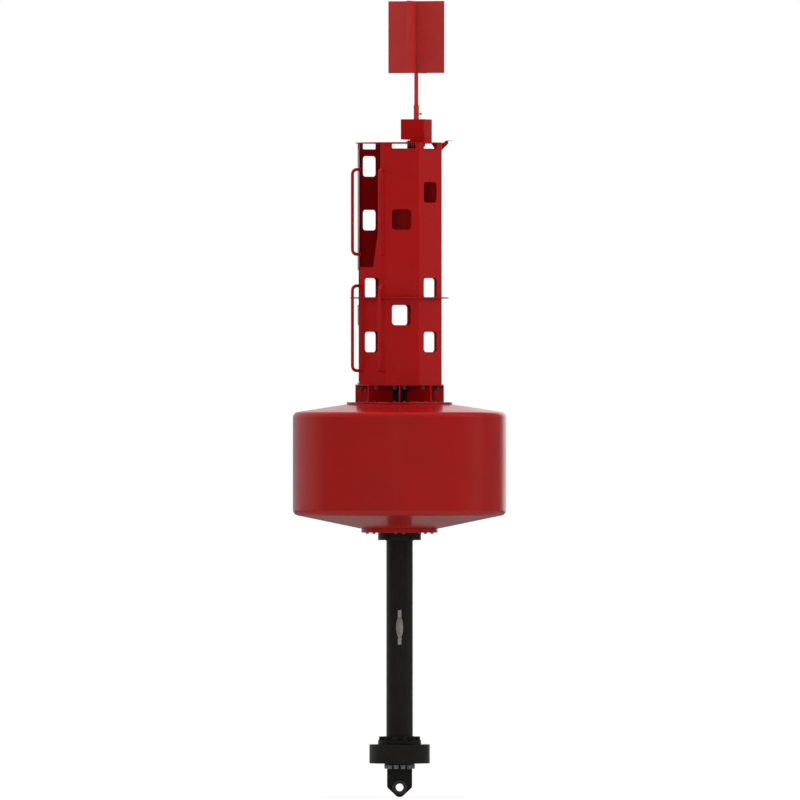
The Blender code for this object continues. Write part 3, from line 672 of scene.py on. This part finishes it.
def paired_angles(splay_deg: float) -> list[float]:
    """Return the angles of the two bolts beside each gusset.

    Args:
        splay_deg: The angle from a gusset to either bolt.

    Returns:
        The angles, in radians.
    """
    splay = math.radians(splay_deg)
    turns = [index * FULL_TURN / GUSSETS for index in range(GUSSETS)]
    return [turn + side for turn in turns for side in (-splay, splay)]


def around(radius: float, angles: Sequence[float], height: float) -> list[Matrix]:
    """Return upright places on a circle about the Z axis."""
    spots = [(radius * math.cos(angle), radius * math.sin(angle)) for angle in angles]
    return [Matrix.Translation((x, y, height)) for x, y in spots]


def dress(item: bpy.types.Object, finish: Finish, *nodes: str) -> bpy.types.Object:
    """Give a piece its finish and its body, and hide the CAD nodes that it stands for.

    Args:
        item: The finished piece.
        finish: Its finish.
        nodes: The CAD nodes that it replaces.

    Returns:
        The piece.
    """
    item.data.materials.clear()
    item.data.materials.append(finish.material())
    for polygon in item.data.polygons:
        polygon.material_index = 0
    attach(item, ROOT_BODY)
    if nodes:
        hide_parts(*nodes)
    LOG.info("%s: %d faces", item.name, len(item.data.polygons))
    return item


@dataclass
class HexBolt:
    """A hexagon head on a round washer, with the head's corners chamfered."""

    flats: float
    head: float
    washer: float = 0.003
    washer_share: float = 1.0584
    washer_edge: float = 0.0005
    washer_steps: int = 20
    chamfer_share: float = 0.12
    upward: float = 0.9

    def build(self, side: Side = Side.ABOVE) -> bpy.types.Object:
        """Model the bolt head on the plane at height 0.

        Args:
            side: Whether the head points up or down.

        Returns:
            The head with its washer.
        """
        bolt = joined("bolt", [self.hexagon(), self.disc()])
        if side is Side.BELOW:
            bolt.rotation_euler = (math.pi, 0, 0)
            settle(bolt)
        return bolt

    def corner_radius(self) -> float:
        """Return the distance from the head's middle to its corners."""
        return self.flats / math.sqrt(3)

    def hexagon(self) -> bpy.types.Object:
        """Model the hexagon over the washer.

        Returns:
            The hexagon, its upper corners chamfered.
        """
        chamfer = self.head * self.chamfer_share
        straight = self.head - self.washer - chamfer
        deselect_all()
        bpy.ops.mesh.primitive_cylinder_add(
            vertices=6,
            radius=self.corner_radius(),
            depth=straight,
            location=(0, 0, self.washer + straight / 2),
        )
        block = settle(named("bolt_head"))
        with editing(block):
            pick(block, Element.FACE, lambda face: face.normal.z > self.upward)
            bpy.ops.mesh.extrude_region_move(TRANSFORM_OT_translate={"value": (0, 0, chamfer)})
            share = 1 - 2 * chamfer / self.flats
            bpy.ops.transform.resize(value=(share, share, 1), center_override=(0, 0, self.head))
        smooth(block)
        return block

    def disc(self) -> bpy.types.Object:
        """Model the washer.

        Returns:
            The washer, its edges rounded.
        """
        deselect_all()
        bpy.ops.mesh.primitive_cylinder_add(
            vertices=self.washer_steps,
            radius=self.corner_radius() * self.washer_share,
            depth=self.washer,
            location=(0, 0, self.washer / 2),
        )
        washer = settle(named("washer"))
        soften(washer, self.washer_edge, 1)
        return washer


@dataclass
class WeldBead:
    """A rippled fillet weld round a tube."""

    radius: float
    leg: float
    pitch: float = 0.009
    least_ripples: int = 8
    sides: int = 8
    ripple_share: float = 0.18
    smooth_deg: float = 80.0

    def build(self, name: str, height: float) -> bpy.types.Object:
        """Model the bead as a ring about the Z axis.

        Args:
            name: The piece's name.
            height: The height of the bead's middle.

        Returns:
            The bead.
        """
        rings = 2 * max(self.least_ripples, round(math.pi * self.radius / self.pitch))
        deselect_all()
        bpy.ops.mesh.primitive_torus_add(
            location=(0, 0, height),
            major_radius=self.radius,
            minor_radius=self.leg,
            major_segments=rings,
            minor_segments=self.sides,
        )
        bead = settle(named(name))
        step = FULL_TURN / rings
        with editing(bead):
            pick(
                bead,
                Element.VERT,
                lambda vert: round(math.atan2(vert.co.y, vert.co.x) / step) % 2 == 0,
            )
            bpy.ops.transform.shrink_fatten(value=-self.ripple_share * self.leg)
        smooth(bead, self.smooth_deg)
        return bead


@dataclass
class MooringEnd:
    """The lug, its two bosses, and the round plate that its bolts hold under the ballast."""

    hole_radius: float = 0.0395
    hole_height: float = 0.100
    boss_radius: float = 0.075
    plate_radius: float = 0.155
    bolt_circle: float = 0.1385
    bolt_count: int = 12
    lug_edge: float = 0.003
    boss_edge: float = 0.006
    boss_edge_steps: int = 3
    boss_steps: int = 64
    plate_edge: float = 0.0015
    plate_steps: int = 96
    bolt: HexBolt = field(
        default_factory=lambda: HexBolt(flats=0.046, head=0.038, washer=0.005)
    )

    def build(self) -> None:
        """Model and dress the mooring end."""
        lug = refined("mooring_lug", "lug_plate")
        soften(lug, self.lug_edge)
        dress(lug, BLACK_PAINT, "mooring_lug")
        self.boss("lug_boss_front")
        self.boss("lug_boss_back")
        self.plate()

    def boss(self, node: str) -> None:
        """Model and dress the ring on one cheek of the lug.

        Args:
            node: The ring's CAD node.
        """
        low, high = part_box(node)
        flip = math.pi if low[1] > 0 else 0.0
        near = min(abs(low[1]), abs(high[1]))
        far = max(abs(low[1]), abs(high[1]))
        profile = ring_profile(self.boss_radius, self.hole_radius, near, far)
        ring = turned(node + "_ring", profile, self.boss_steps)
        ring.rotation_euler = (math.pi / 2, 0, flip)
        ring.location = (0, 0, self.hole_height)
        settle(ring)
        soften(ring, self.boss_edge, self.boss_edge_steps)
        # The bosses take the paler black, a painted highlight.
        dress(ring, HIGHLIT_BOSS_BLACK, node)

    def plate(self) -> None:
        """Model and dress the round plate and the bolts under it."""
        low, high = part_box("mooring_plate")
        base = low[2] + self.bolt.head
        profile = ring_profile(self.plate_radius, 0.0, base, high[2])
        plate = turned("lug_base_plate", profile, self.plate_steps)
        soften(plate, self.plate_edge)
        dress(plate, BLACK_PAINT, "mooring_plate")
        places = around(self.bolt_circle, even_angles(self.bolt_count), base)
        dress(copies(self.bolt.build(Side.BELOW), places, "lug_plate_bolts"), DULL_ZINC)


@dataclass
class Tail:
    """The ballast disc, the tail tube and the flanges at its ends."""

    ballast_radius: float = 0.3115
    ballast_bore: float = 0.050
    ballast_edge: float = 0.005
    ballast_edge_steps: int = 3
    ballast_steps: int = 128
    tube_radius: float = 0.1365
    tube_wall: float = 0.0093
    core_radius: float = 0.1095
    weld_leg: float = 0.007
    flange_radius: float = 0.222
    foot_edge: float = 0.003
    flange_edge: float = 0.0025
    steps: int = 112
    nut_circle: float = 0.190
    nut_count: int = 12
    nut: HexBolt = field(
        default_factory=lambda: HexBolt(flats=0.055, head=0.039, washer=0.005)
    )

    def build(self) -> None:
        """Model and dress the tail, from the ballast up."""
        low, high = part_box("ballast_disc")
        profile = ring_profile(self.ballast_radius, self.ballast_bore, low[2], high[2])
        disc = turned("ballast_casting", profile, self.ballast_steps)
        soften(disc, self.ballast_edge, self.ballast_edge_steps)
        dress(disc, BLACK_PAINT, "ballast_disc")
        bore = self.tube_radius - self.tube_wall
        self.foot(bore)
        self.tube(bore)
        self.flange("tail_head_flange", bore)
        self.flange("core_flange", self.core_radius)

    def foot(self, bore: float) -> None:
        """Model and dress the flange on the ballast and its nuts.

        Args:
            bore: The flange's inner radius.
        """
        low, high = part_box("tail_foot_flange")
        top = high[2] - self.nut.head
        foot = turned(
            "foot_flange", ring_profile(self.flange_radius, bore, low[2], top), self.steps
        )
        soften(foot, self.foot_edge)
        dress(foot, BLACK_PAINT, "tail_foot_flange")
        places = around(self.nut_circle, even_angles(self.nut_count), top)
        dress(copies(self.nut.build(), places, "foot_flange_nuts"), BLACK_PAINT)

    def tube(self, bore: float) -> None:
        """Model and dress the tail tube and the welds at its ends.

        Args:
            bore: The tube's inner radius.
        """
        low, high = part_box("tail_tube")
        profile = ring_profile(self.tube_radius, bore, low[2], high[2])
        tube = turned("tail_pipe", profile, self.steps)
        smooth(tube)
        dress(tube, BLACK_PAINT, "tail_tube")
        for name, height in (("tail_weld_low", low[2]), ("tail_weld_high", high[2])):
            dress(WeldBead(self.tube_radius, self.weld_leg).build(name, height), BLACK_PAINT)

    def flange(self, node: str, bore: float) -> None:
        """Model and dress one of the two flanges under the float.

        Args:
            node: The flange's CAD node.
            bore: Its inner radius.
        """
        low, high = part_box(node)
        profile = ring_profile(self.flange_radius, bore, low[2], high[2])
        flange = turned(node + "_disc", profile, self.steps)
        soften(flange, self.flange_edge)
        dress(flange, BLACK_PAINT, node)


@dataclass
class Anodes:
    """The two zinc anodes and the straps cast into them."""

    strap_edge: float = 0.001
    smooth_deg: float = 50.0

    def build(self) -> None:
        """Dress the anodes and their straps."""
        for side in ("front", "back"):
            strap = refined(f"anode_strap_{side}", f"anode_bar_{side}")
            soften(strap, self.strap_edge)
            dress(strap, DULL_ZINC, f"anode_strap_{side}")
            body = refined(f"anode_{side}", f"anode_casting_{side}")
            smooth(body, self.smooth_deg)
            dress(body, ANODE_ZINC, f"anode_{side}")


@dataclass
class Float:
    """The skinned float, the core tube through it and the plates that clamp it."""

    radius: float = 1.100
    top_radius: float = 0.535
    bottom_radius: float = 0.410
    top_drop: float = 0.0875
    bottom_rise: float = 0.143
    shoulder_round: float = 0.050
    shoulder_steps: int = 6
    skin_steps: int = 160
    smooth_deg: float = 25.0
    core_radius: float = 0.1095
    core_wall: float = 0.010
    core_steps: int = 96
    top_plate_radius: float = 0.545
    bottom_plate_radius: float = 0.394
    plate_edge: float = 0.0025
    plate_steps: int = 128
    top_bolt_circle: float = 0.417
    bottom_bolt_circle: float = 0.335
    bolt_splay_deg: float = 7.0
    bolt: HexBolt = field(
        default_factory=lambda: HexBolt(flats=0.030, head=0.013, washer=0.0025)
    )

    def build(self) -> None:
        """Model and dress the float."""
        self.skin()
        low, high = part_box("core_tube")
        inner = self.core_radius - self.core_wall
        profile = ring_profile(self.core_radius, inner, low[2], high[2])
        tube = turned("core_pipe", profile, self.core_steps)
        smooth(tube)
        dress(tube, BLACK_PAINT, "core_tube")
        self.clamp_plate(
            "float_top_plate", self.top_plate_radius, self.top_bolt_circle, Side.ABOVE
        )
        self.clamp_plate(
            "float_bottom_plate", self.bottom_plate_radius, self.bottom_bolt_circle, Side.BELOW
        )

    def skin(self) -> None:
        """Model and dress the float's body, a drum between two shallow cones."""
        low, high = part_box("float_body")
        base, top = low[2], high[2]
        profile = [
            (self.core_radius, top),
            (self.top_radius, top),
            (self.radius, top - self.top_drop),
            (self.radius, base + self.bottom_rise),
            (self.bottom_radius, base),
            (self.core_radius, base),
        ]
        body = turned("float_skin", profile, self.skin_steps)
        with editing(body):
            pick(body, Element.EDGE, self.is_shoulder)
            bpy.ops.mesh.bevel(
                offset=self.shoulder_round,
                offset_type="OFFSET",
                segments=self.shoulder_steps,
                affect="EDGES",
            )
        smooth(body, self.smooth_deg)
        dress(body, RED_SKIN, "float_body")

    def is_shoulder(self, edge: bmesh.types.BMEdge) -> bool:
        """Tell whether an edge lies round the float's widest part.

        Args:
            edge: An edge of the float.

        Returns:
            True for the edges between the drum and either cone.
        """
        ends = [math.hypot(vert.co.x, vert.co.y) for vert in edge.verts]
        level = abs(edge.verts[0].co.z - edge.verts[1].co.z) < MERGE
        return level and min(ends) > self.radius - MERGE

    def clamp_plate(self, node: str, radius: float, bolt_circle: float, side: Side) -> None:
        """Model and dress a clamp plate and its bolts.

        Args:
            node: The CAD node of the plate with its bolt heads.
            radius: The plate's radius.
            bolt_circle: The radius of the circle of bolts.
            side: The side that the heads are on.
        """
        low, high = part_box(node)
        base = low[2] + (self.bolt.head if side is Side.BELOW else 0)
        top = high[2] - (self.bolt.head if side is Side.ABOVE else 0)
        profile = ring_profile(radius, self.core_radius, base, top)
        plate = turned(node + "_disc", profile, self.plate_steps)
        soften(plate, self.plate_edge)
        dress(plate, RED_PAINT, node)
        face = top if side is Side.ABOVE else base
        places = around(bolt_circle, paired_angles(self.bolt_splay_deg), face)
        dress(copies(self.bolt.build(side), places, node + "_bolts"), BRIGHT_ZINC)


@dataclass
class Collar:
    """The gussets between the float and the tower, and the ring that the tower is bolted to."""

    ring_radius: float = 0.458
    core_radius: float = 0.1095
    ring_thickness: float = 0.012
    edge: float = 0.0015
    ring_steps: int = 128
    nut_circle: float = 0.392
    nut_splay_deg: float = 7.3
    nut: HexBolt = field(default_factory=lambda: HexBolt(flats=0.036, head=0.042))

    def build(self) -> None:
        """Model and dress the collar."""
        for index in range(GUSSETS):
            node = f"collar_gusset_{index + 1}"
            plate = refined(node, f"gusset_plate_{index + 1}")
            soften(plate, self.edge)
            dress(plate, RED_PAINT, node)
        low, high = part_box("collar_ring")
        base = high[2] - self.ring_thickness
        profile = ring_profile(self.ring_radius, self.core_radius, base, high[2])
        ring = turned("collar_disc", profile, self.ring_steps)
        soften(ring, self.edge)
        dress(ring, RED_PAINT, "collar_ring")
        places = around(self.nut_circle, paired_angles(self.nut_splay_deg), base)
        dress(copies(self.nut.build(Side.BELOW), places, "tower_nuts"), BRIGHT_ZINC)


@dataclass
class Tower:
    """The folded shell with its base flange, step ring and grab rails."""

    fold_radius: float = 0.011
    fold_steps: int = 3
    fold_least_length: float = 0.02
    fold_most_lean: float = 0.0005
    fold_least_turn: float = 0.6
    fold_most_turn: float = 0.95
    step_edge: float = 0.003
    smooth_deg: float = 28.0
    rail_radius: float = 0.0170
    rail_smooth_deg: float = 50.0
    weld_leg: float = 0.0045
    weld_pitch: float = 0.006

    def build(self) -> None:
        """Model and dress the tower."""
        shell = refined("tower_shell", "folded_shell")
        with editing(shell):
            pick(shell, Element.EDGE, self.is_fold)
            bpy.ops.mesh.bevel(
                offset=self.fold_radius,
                offset_type="OFFSET",
                segments=self.fold_steps,
                affect="EDGES",
            )
        smooth(shell, self.smooth_deg)
        dress(shell, RED_PAINT, "tower_shell")
        flange = refined("tower_base_flange", "base_flange")
        smooth(flange, self.smooth_deg)
        dress(flange, RED_PAINT, "tower_base_flange")
        step = refined("step_ring", "step_plate")
        soften(step, self.step_edge)
        dress(step, RED_PAINT, "step_ring")
        bead = WeldBead(self.rail_radius, self.weld_leg, self.weld_pitch).build("rail_weld", 0.0)
        for level in ("lower", "upper"):
            for side in ("left", "right"):
                self.rail(f"{level}_{side}", bead)
        bpy.data.objects.remove(bead, do_unlink=True)

    def rail(self, place: str, bead: bpy.types.Object) -> None:
        """Dress a grab rail and put a weld round each of its feet.

        Args:
            place: The rail's level and side.
            bead: The weld that is copied to the feet.
        """
        rail = refined("rail_" + place, "grab_rail_" + place)
        ends = sorted(rail.data.polygons, key=lambda face: len(face.vertices))[-2:]
        feet = []
        for end in ends:
            turn = end.normal.to_track_quat("Z", "Y").to_matrix().to_4x4()
            feet.append(Matrix.Translation(end.center) @ turn)
        smooth(rail, self.rail_smooth_deg)
        dress(rail, RED_PAINT, "rail_" + place)
        dress(copies(bead, feet, "rail_welds_" + place, keep=True), RED_PAINT)

    def is_fold(self, edge: bmesh.types.BMEdge) -> bool:
        """Tell whether an edge is an upright fold between two faces of the shell.

        Args:
            edge: An edge of the shell.

        Returns:
            True for a fold, outside or inside.
        """
        if len(edge.link_faces) != 2:
            return False
        line = edge.verts[1].co - edge.verts[0].co
        lean = math.hypot(line.x, line.y)
        upright = lean < self.fold_most_lean and abs(line.z) > self.fold_least_length
        return upright and self.fold_least_turn < edge.calc_face_angle() < self.fold_most_turn


@dataclass
class LanternDeck:
    """The lantern plate on the tower and the bracket at its right edge."""

    radius: float = 0.455
    steps: int = 128
    plate_edge: float = 0.0015
    bracket_edge: float = 0.001

    def build(self) -> None:
        """Model and dress the deck."""
        low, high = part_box("lantern_plate")
        profile = ring_profile(self.radius, 0.0, low[2], high[2])
        plate = turned("lantern_deck", profile, self.steps)
        soften(plate, self.plate_edge)
        dress(plate, RED_PAINT, "lantern_plate")
        for node in ("side_bracket", "side_bracket_pad", "side_bracket_web"):
            piece = refined(node, node + "_plate")
            soften(piece, self.bracket_edge)
            dress(piece, RED_PAINT, node)


@dataclass
class Topmark:
    """The mast's foot and hood, the sleeve, the mast and the crossed plates."""

    edge: float = 0.0008
    foot_bolts: int = 4
    tube_smooth_deg: float = 40.0
    screw_smooth_deg: float = 28.0

    def build(self) -> None:
        """Model and dress the topmark."""
        sheets = {
            "mast_foot": RED_PAINT,
            "mast_hood": FLAT_RED,
            # The topmark's plates take the paler red, a painted sheen.
            "topmark_plate_wide": SHEEN_RED,
            "topmark_plate_cross": SHEEN_RED,
        }
        for node, finish in sheets.items():
            piece = refined(node, node + "_sheet")
            soften(piece, self.edge)
            dress(piece, finish, node)
        for index in range(self.foot_bolts):
            node = f"mast_foot_bolt_{index + 1}"
            bolt = refined(node, f"foot_bolt_{index + 1}")
            soften(bolt, self.edge)
            dress(bolt, BRIGHT_ZINC, node)
        # The sleeve and mast take the paler red too, a painted sheen.
        for node, name in (("mast_sleeve", "sleeve_tube"), ("topmark_mast", "mast_tube")):
            tube = refined(node, name)
            smooth(tube, self.tube_smooth_deg)
            dress(tube, SHEEN_RED, node)
        screw = refined("mast_clamp_screw", "clamp_screw")
        smooth(screw, self.screw_smooth_deg)
        dress(screw, BRIGHT_ZINC, "mast_clamp_screw")


@dataclass(frozen=True)
class Lamp:
    """A round soft lamp, aimed at the middle of the buoy."""

    name: str
    azimuth_deg: float
    elevation_deg: float
    size: float
    watts: float
    distance: float = 18.0

    def hang(self, middle: float) -> None:
        """Put the lamp in its place, out of every reflection.

        Args:
            middle: The height of the buoy's middle.
        """
        light = bpy.data.lights.new("lamp_" + self.name, "AREA")
        light.shape = "DISK"
        light.size = self.size
        light.energy = self.watts
        azimuth = math.radians(self.azimuth_deg)
        elevation = math.radians(self.elevation_deg)
        level = self.distance * math.cos(elevation)
        rise = self.distance * math.sin(elevation)
        away = Vector((level * math.sin(azimuth), -level * math.cos(azimuth), rise))
        item = bpy.data.objects.new("lamp_" + self.name, light)
        item.location = Vector((0, 0, middle)) + away
        item.rotation_euler = (-away).to_track_quat("-Z", "Y").to_euler()
        item.visible_glossy = False
        bpy.context.scene.collection.objects.link(item)


# Each lamp's turn from the front and its rise in degrees, its width in metres, and its watts.
LAMPS = (
    Lamp("front", -4.0, 6.0, 3.0, 980.0),
    Lamp("left", -80.0, 24.0, 9.0, 700.0),
    Lamp("right", 74.0, 24.0, 9.0, 1400.0),
    Lamp("back", 180.0, 30.0, 9.0, 1500.0),
    Lamp("top", 0.0, 88.0, 9.0, 3300.0),
)

# What the gloss sees on each side: a share of the way from the front (0) to the back (1), and
# the brightness there as a share of the backdrop's.
LEFT_GLOSS = ((0.0, 0.03), (0.30, 0.01), (0.50, 0.04), (0.64, 0.24), (0.94, 0.34))
RIGHT_GLOSS = ((0.0, 0.03), (0.30, 0.02), (0.53, 0.18), (0.62, 0.08), (0.900, 0.09), (0.965, 1.0))


@dataclass
class Studio:
    """The floor, the light and the camera."""

    floor_size: float = 60.0
    floor_drop: float = 0.002
    floor_glow: float = 0.88
    floor_clear: float = 3.0
    floor_white: float = 15.0
    floor_seen: str = "#F4F4F4"
    floor_bounce: str = "#D0D0D0"
    floor_in_gloss: str = "#6E6E6E"
    ambient: float = 0.42
    backdrop: float = 1.3
    side_blend: float = 0.15
    distance: float = 200.0
    far_clip: float = 500.0
    view_width: float = 8.24
    camera_height: float = 4.09
    camera_offset: float = 0.004
    sensor: float = 36.0

    def build(self) -> None:
        """Set up the floor, the world, the lamps and the camera."""
        bpy.context.scene.view_settings.view_transform = "Standard"
        self.floor()
        self.world()
        for lamp in LAMPS:
            lamp.hang(self.camera_height)
        self.camera()

    def floor(self) -> None:
        """Lay the pale floor just under the lug's tip."""
        deselect_all()
        bpy.ops.mesh.primitive_plane_add(
            size=self.floor_size, location=(0, 0, -self.floor_drop)
        )
        floor = settle(named("studio_floor"))
        floor.data.materials.append(self.floor_paint())

    def floor_paint(self) -> bpy.types.Material:
        """Make the floor's material, which fades into the white backdrop all round.

        Returns:
            The material.
        """
        paint = bpy.data.materials.new("pale_floor")
        paint.use_nodes = True
        tree = paint.node_tree
        tree.nodes.clear()
        path = add_node(tree, "ShaderNodeLightPath")
        bounced = add_node(
            tree,
            "ShaderNodeMix",
            {
                MIX_FACTOR: path.outputs["Is Glossy Ray"],
                MIX_FIRST_COLOUR: linear(self.floor_bounce),
                MIX_SECOND_COLOUR: linear(self.floor_in_gloss),
            },
            data_type="RGBA",
        )
        colour = add_node(
            tree,
            "ShaderNodeMix",
            {
                MIX_FACTOR: path.outputs["Is Camera Ray"],
                MIX_FIRST_COLOUR: bounced.outputs[MIX_COLOUR_OUT],
                MIX_SECOND_COLOUR: linear(self.floor_seen),
            },
            data_type="RGBA",
        )
        matt = add_node(
            tree, "ShaderNodeBsdfDiffuse", {"Color": colour.outputs[MIX_COLOUR_OUT]}
        )
        white = add_node(
            tree, "ShaderNodeEmission", {"Color": linear("#FFFFFF"), "Strength": 1.0}
        )
        place = add_node(tree, "ShaderNodeTexCoord").outputs["Object"]
        reach = add_node(tree, "ShaderNodeVectorMath", {0: place}, operation="LENGTH")
        glow = add_node(
            tree,
            "ShaderNodeMapRange",
            {
                "Value": reach.outputs["Value"],
                "From Min": self.floor_clear,
                "From Max": self.floor_white,
                "To Min": self.floor_glow,
                "To Max": 1.0,
            },
            interpolation_type="SMOOTHSTEP",
        )
        share = add_node(
            tree,
            "ShaderNodeMath",
            {0: path.outputs["Is Camera Ray"], 1: glow.outputs[0]},
            operation="MULTIPLY",
        )
        mixed = add_node(
            tree,
            "ShaderNodeMixShader",
            {0: share.outputs[0], 1: matt.outputs[0], 2: white.outputs[0]},
        )
        add_node(tree, "ShaderNodeOutputMaterial", {"Surface": mixed.outputs[0]})
        return paint

    def world(self) -> None:
        """Surround the scene with a white backdrop and an even soft light."""
        world = bpy.data.worlds.new("studio")
        bpy.context.scene.world = world
        world.use_nodes = True
        world.cycles.sampling_method = "NONE"
        tree = world.node_tree
        tree.nodes.clear()
        path = add_node(tree, "ShaderNodeLightPath")
        glossy = add_node(
            tree,
            "ShaderNodeMix",
            {
                MIX_FACTOR: path.outputs["Is Glossy Ray"],
                MIX_LOW: self.ambient,
                MIX_HIGH: self.gloss(tree),
            },
        )
        seen = add_node(
            tree,
            "ShaderNodeMath",
            {0: path.outputs["Is Camera Ray"], 1: path.outputs["Is Transmission Ray"]},
            operation="MAXIMUM",
        )
        strength = add_node(
            tree,
            "ShaderNodeMix",
            {MIX_FACTOR: seen.outputs[0], MIX_LOW: glossy.outputs[0], MIX_HIGH: 1.0},
        )
        light = add_node(
            tree,
            "ShaderNodeBackground",
            {"Color": linear("#FFFFFF"), "Strength": strength.outputs[0]},
        )
        add_node(tree, "ShaderNodeOutputWorld", {"Surface": light.outputs[0]})

    def gloss(self, tree: bpy.types.NodeTree) -> bpy.types.NodeSocket:
        """Add what the gloss sees: a dark front, a paler right side and a bright back.

        Args:
            tree: The world's node tree.

        Returns:
            The socket of its brightness.
        """
        place = add_node(tree, "ShaderNodeTexCoord").outputs["Generated"]
        parts = add_node(tree, "ShaderNodeSeparateXYZ", {"Vector": place})
        depth = add_node(
            tree,
            "ShaderNodeMapRange",
            {"Value": parts.outputs["Y"], "From Min": -1.0, "From Max": 1.0},
        )
        across = add_node(
            tree,
            "ShaderNodeMapRange",
            {
                "Value": parts.outputs["X"],
                "From Min": -self.side_blend,
                "From Max": self.side_blend,
            },
        )
        sides = []
        for stops in (LEFT_GLOSS, RIGHT_GLOSS):
            side = add_node(tree, "ShaderNodeValToRGB", {"Fac": depth.outputs[0]})
            set_stops(side.color_ramp, stops)
            sides.append(side.outputs["Color"])
        both = add_node(
            tree,
            "ShaderNodeMix",
            {MIX_FACTOR: across.outputs[0], MIX_LOW: sides[0], MIX_HIGH: sides[1]},
        )
        level = add_node(
            tree, "ShaderNodeMath", {0: both.outputs[0], 1: self.backdrop}, operation="MULTIPLY"
        )
        return level.outputs[0]

    def camera(self) -> None:
        """Place the camera at the photograph's view."""
        camera = bpy.data.cameras.new("photo_view")
        camera.sensor_width = self.sensor
        camera.lens = self.sensor * self.distance / self.view_width
        camera.clip_end = self.far_clip
        item = bpy.data.objects.new("photo_view", camera)
        item.location = (self.camera_offset, -self.distance, self.camera_height)
        item.rotation_euler = (math.pi / 2, 0, 0)
        bpy.context.scene.collection.objects.link(item)
        bpy.context.scene.camera = item


def main() -> None:
    """Build the buoy's pieces in order, then the studio."""
    logging.basicConfig(level=logging.INFO, format="%(name)s %(message)s")
    for part in (MooringEnd(), Tail(), Anodes(), Float(), Collar(), Tower(), LanternDeck(), Topmark()):
        LOG.info("building %s", type(part).__name__)
        part.build()
    Studio().build()


if __name__ == "__main__":
    main()
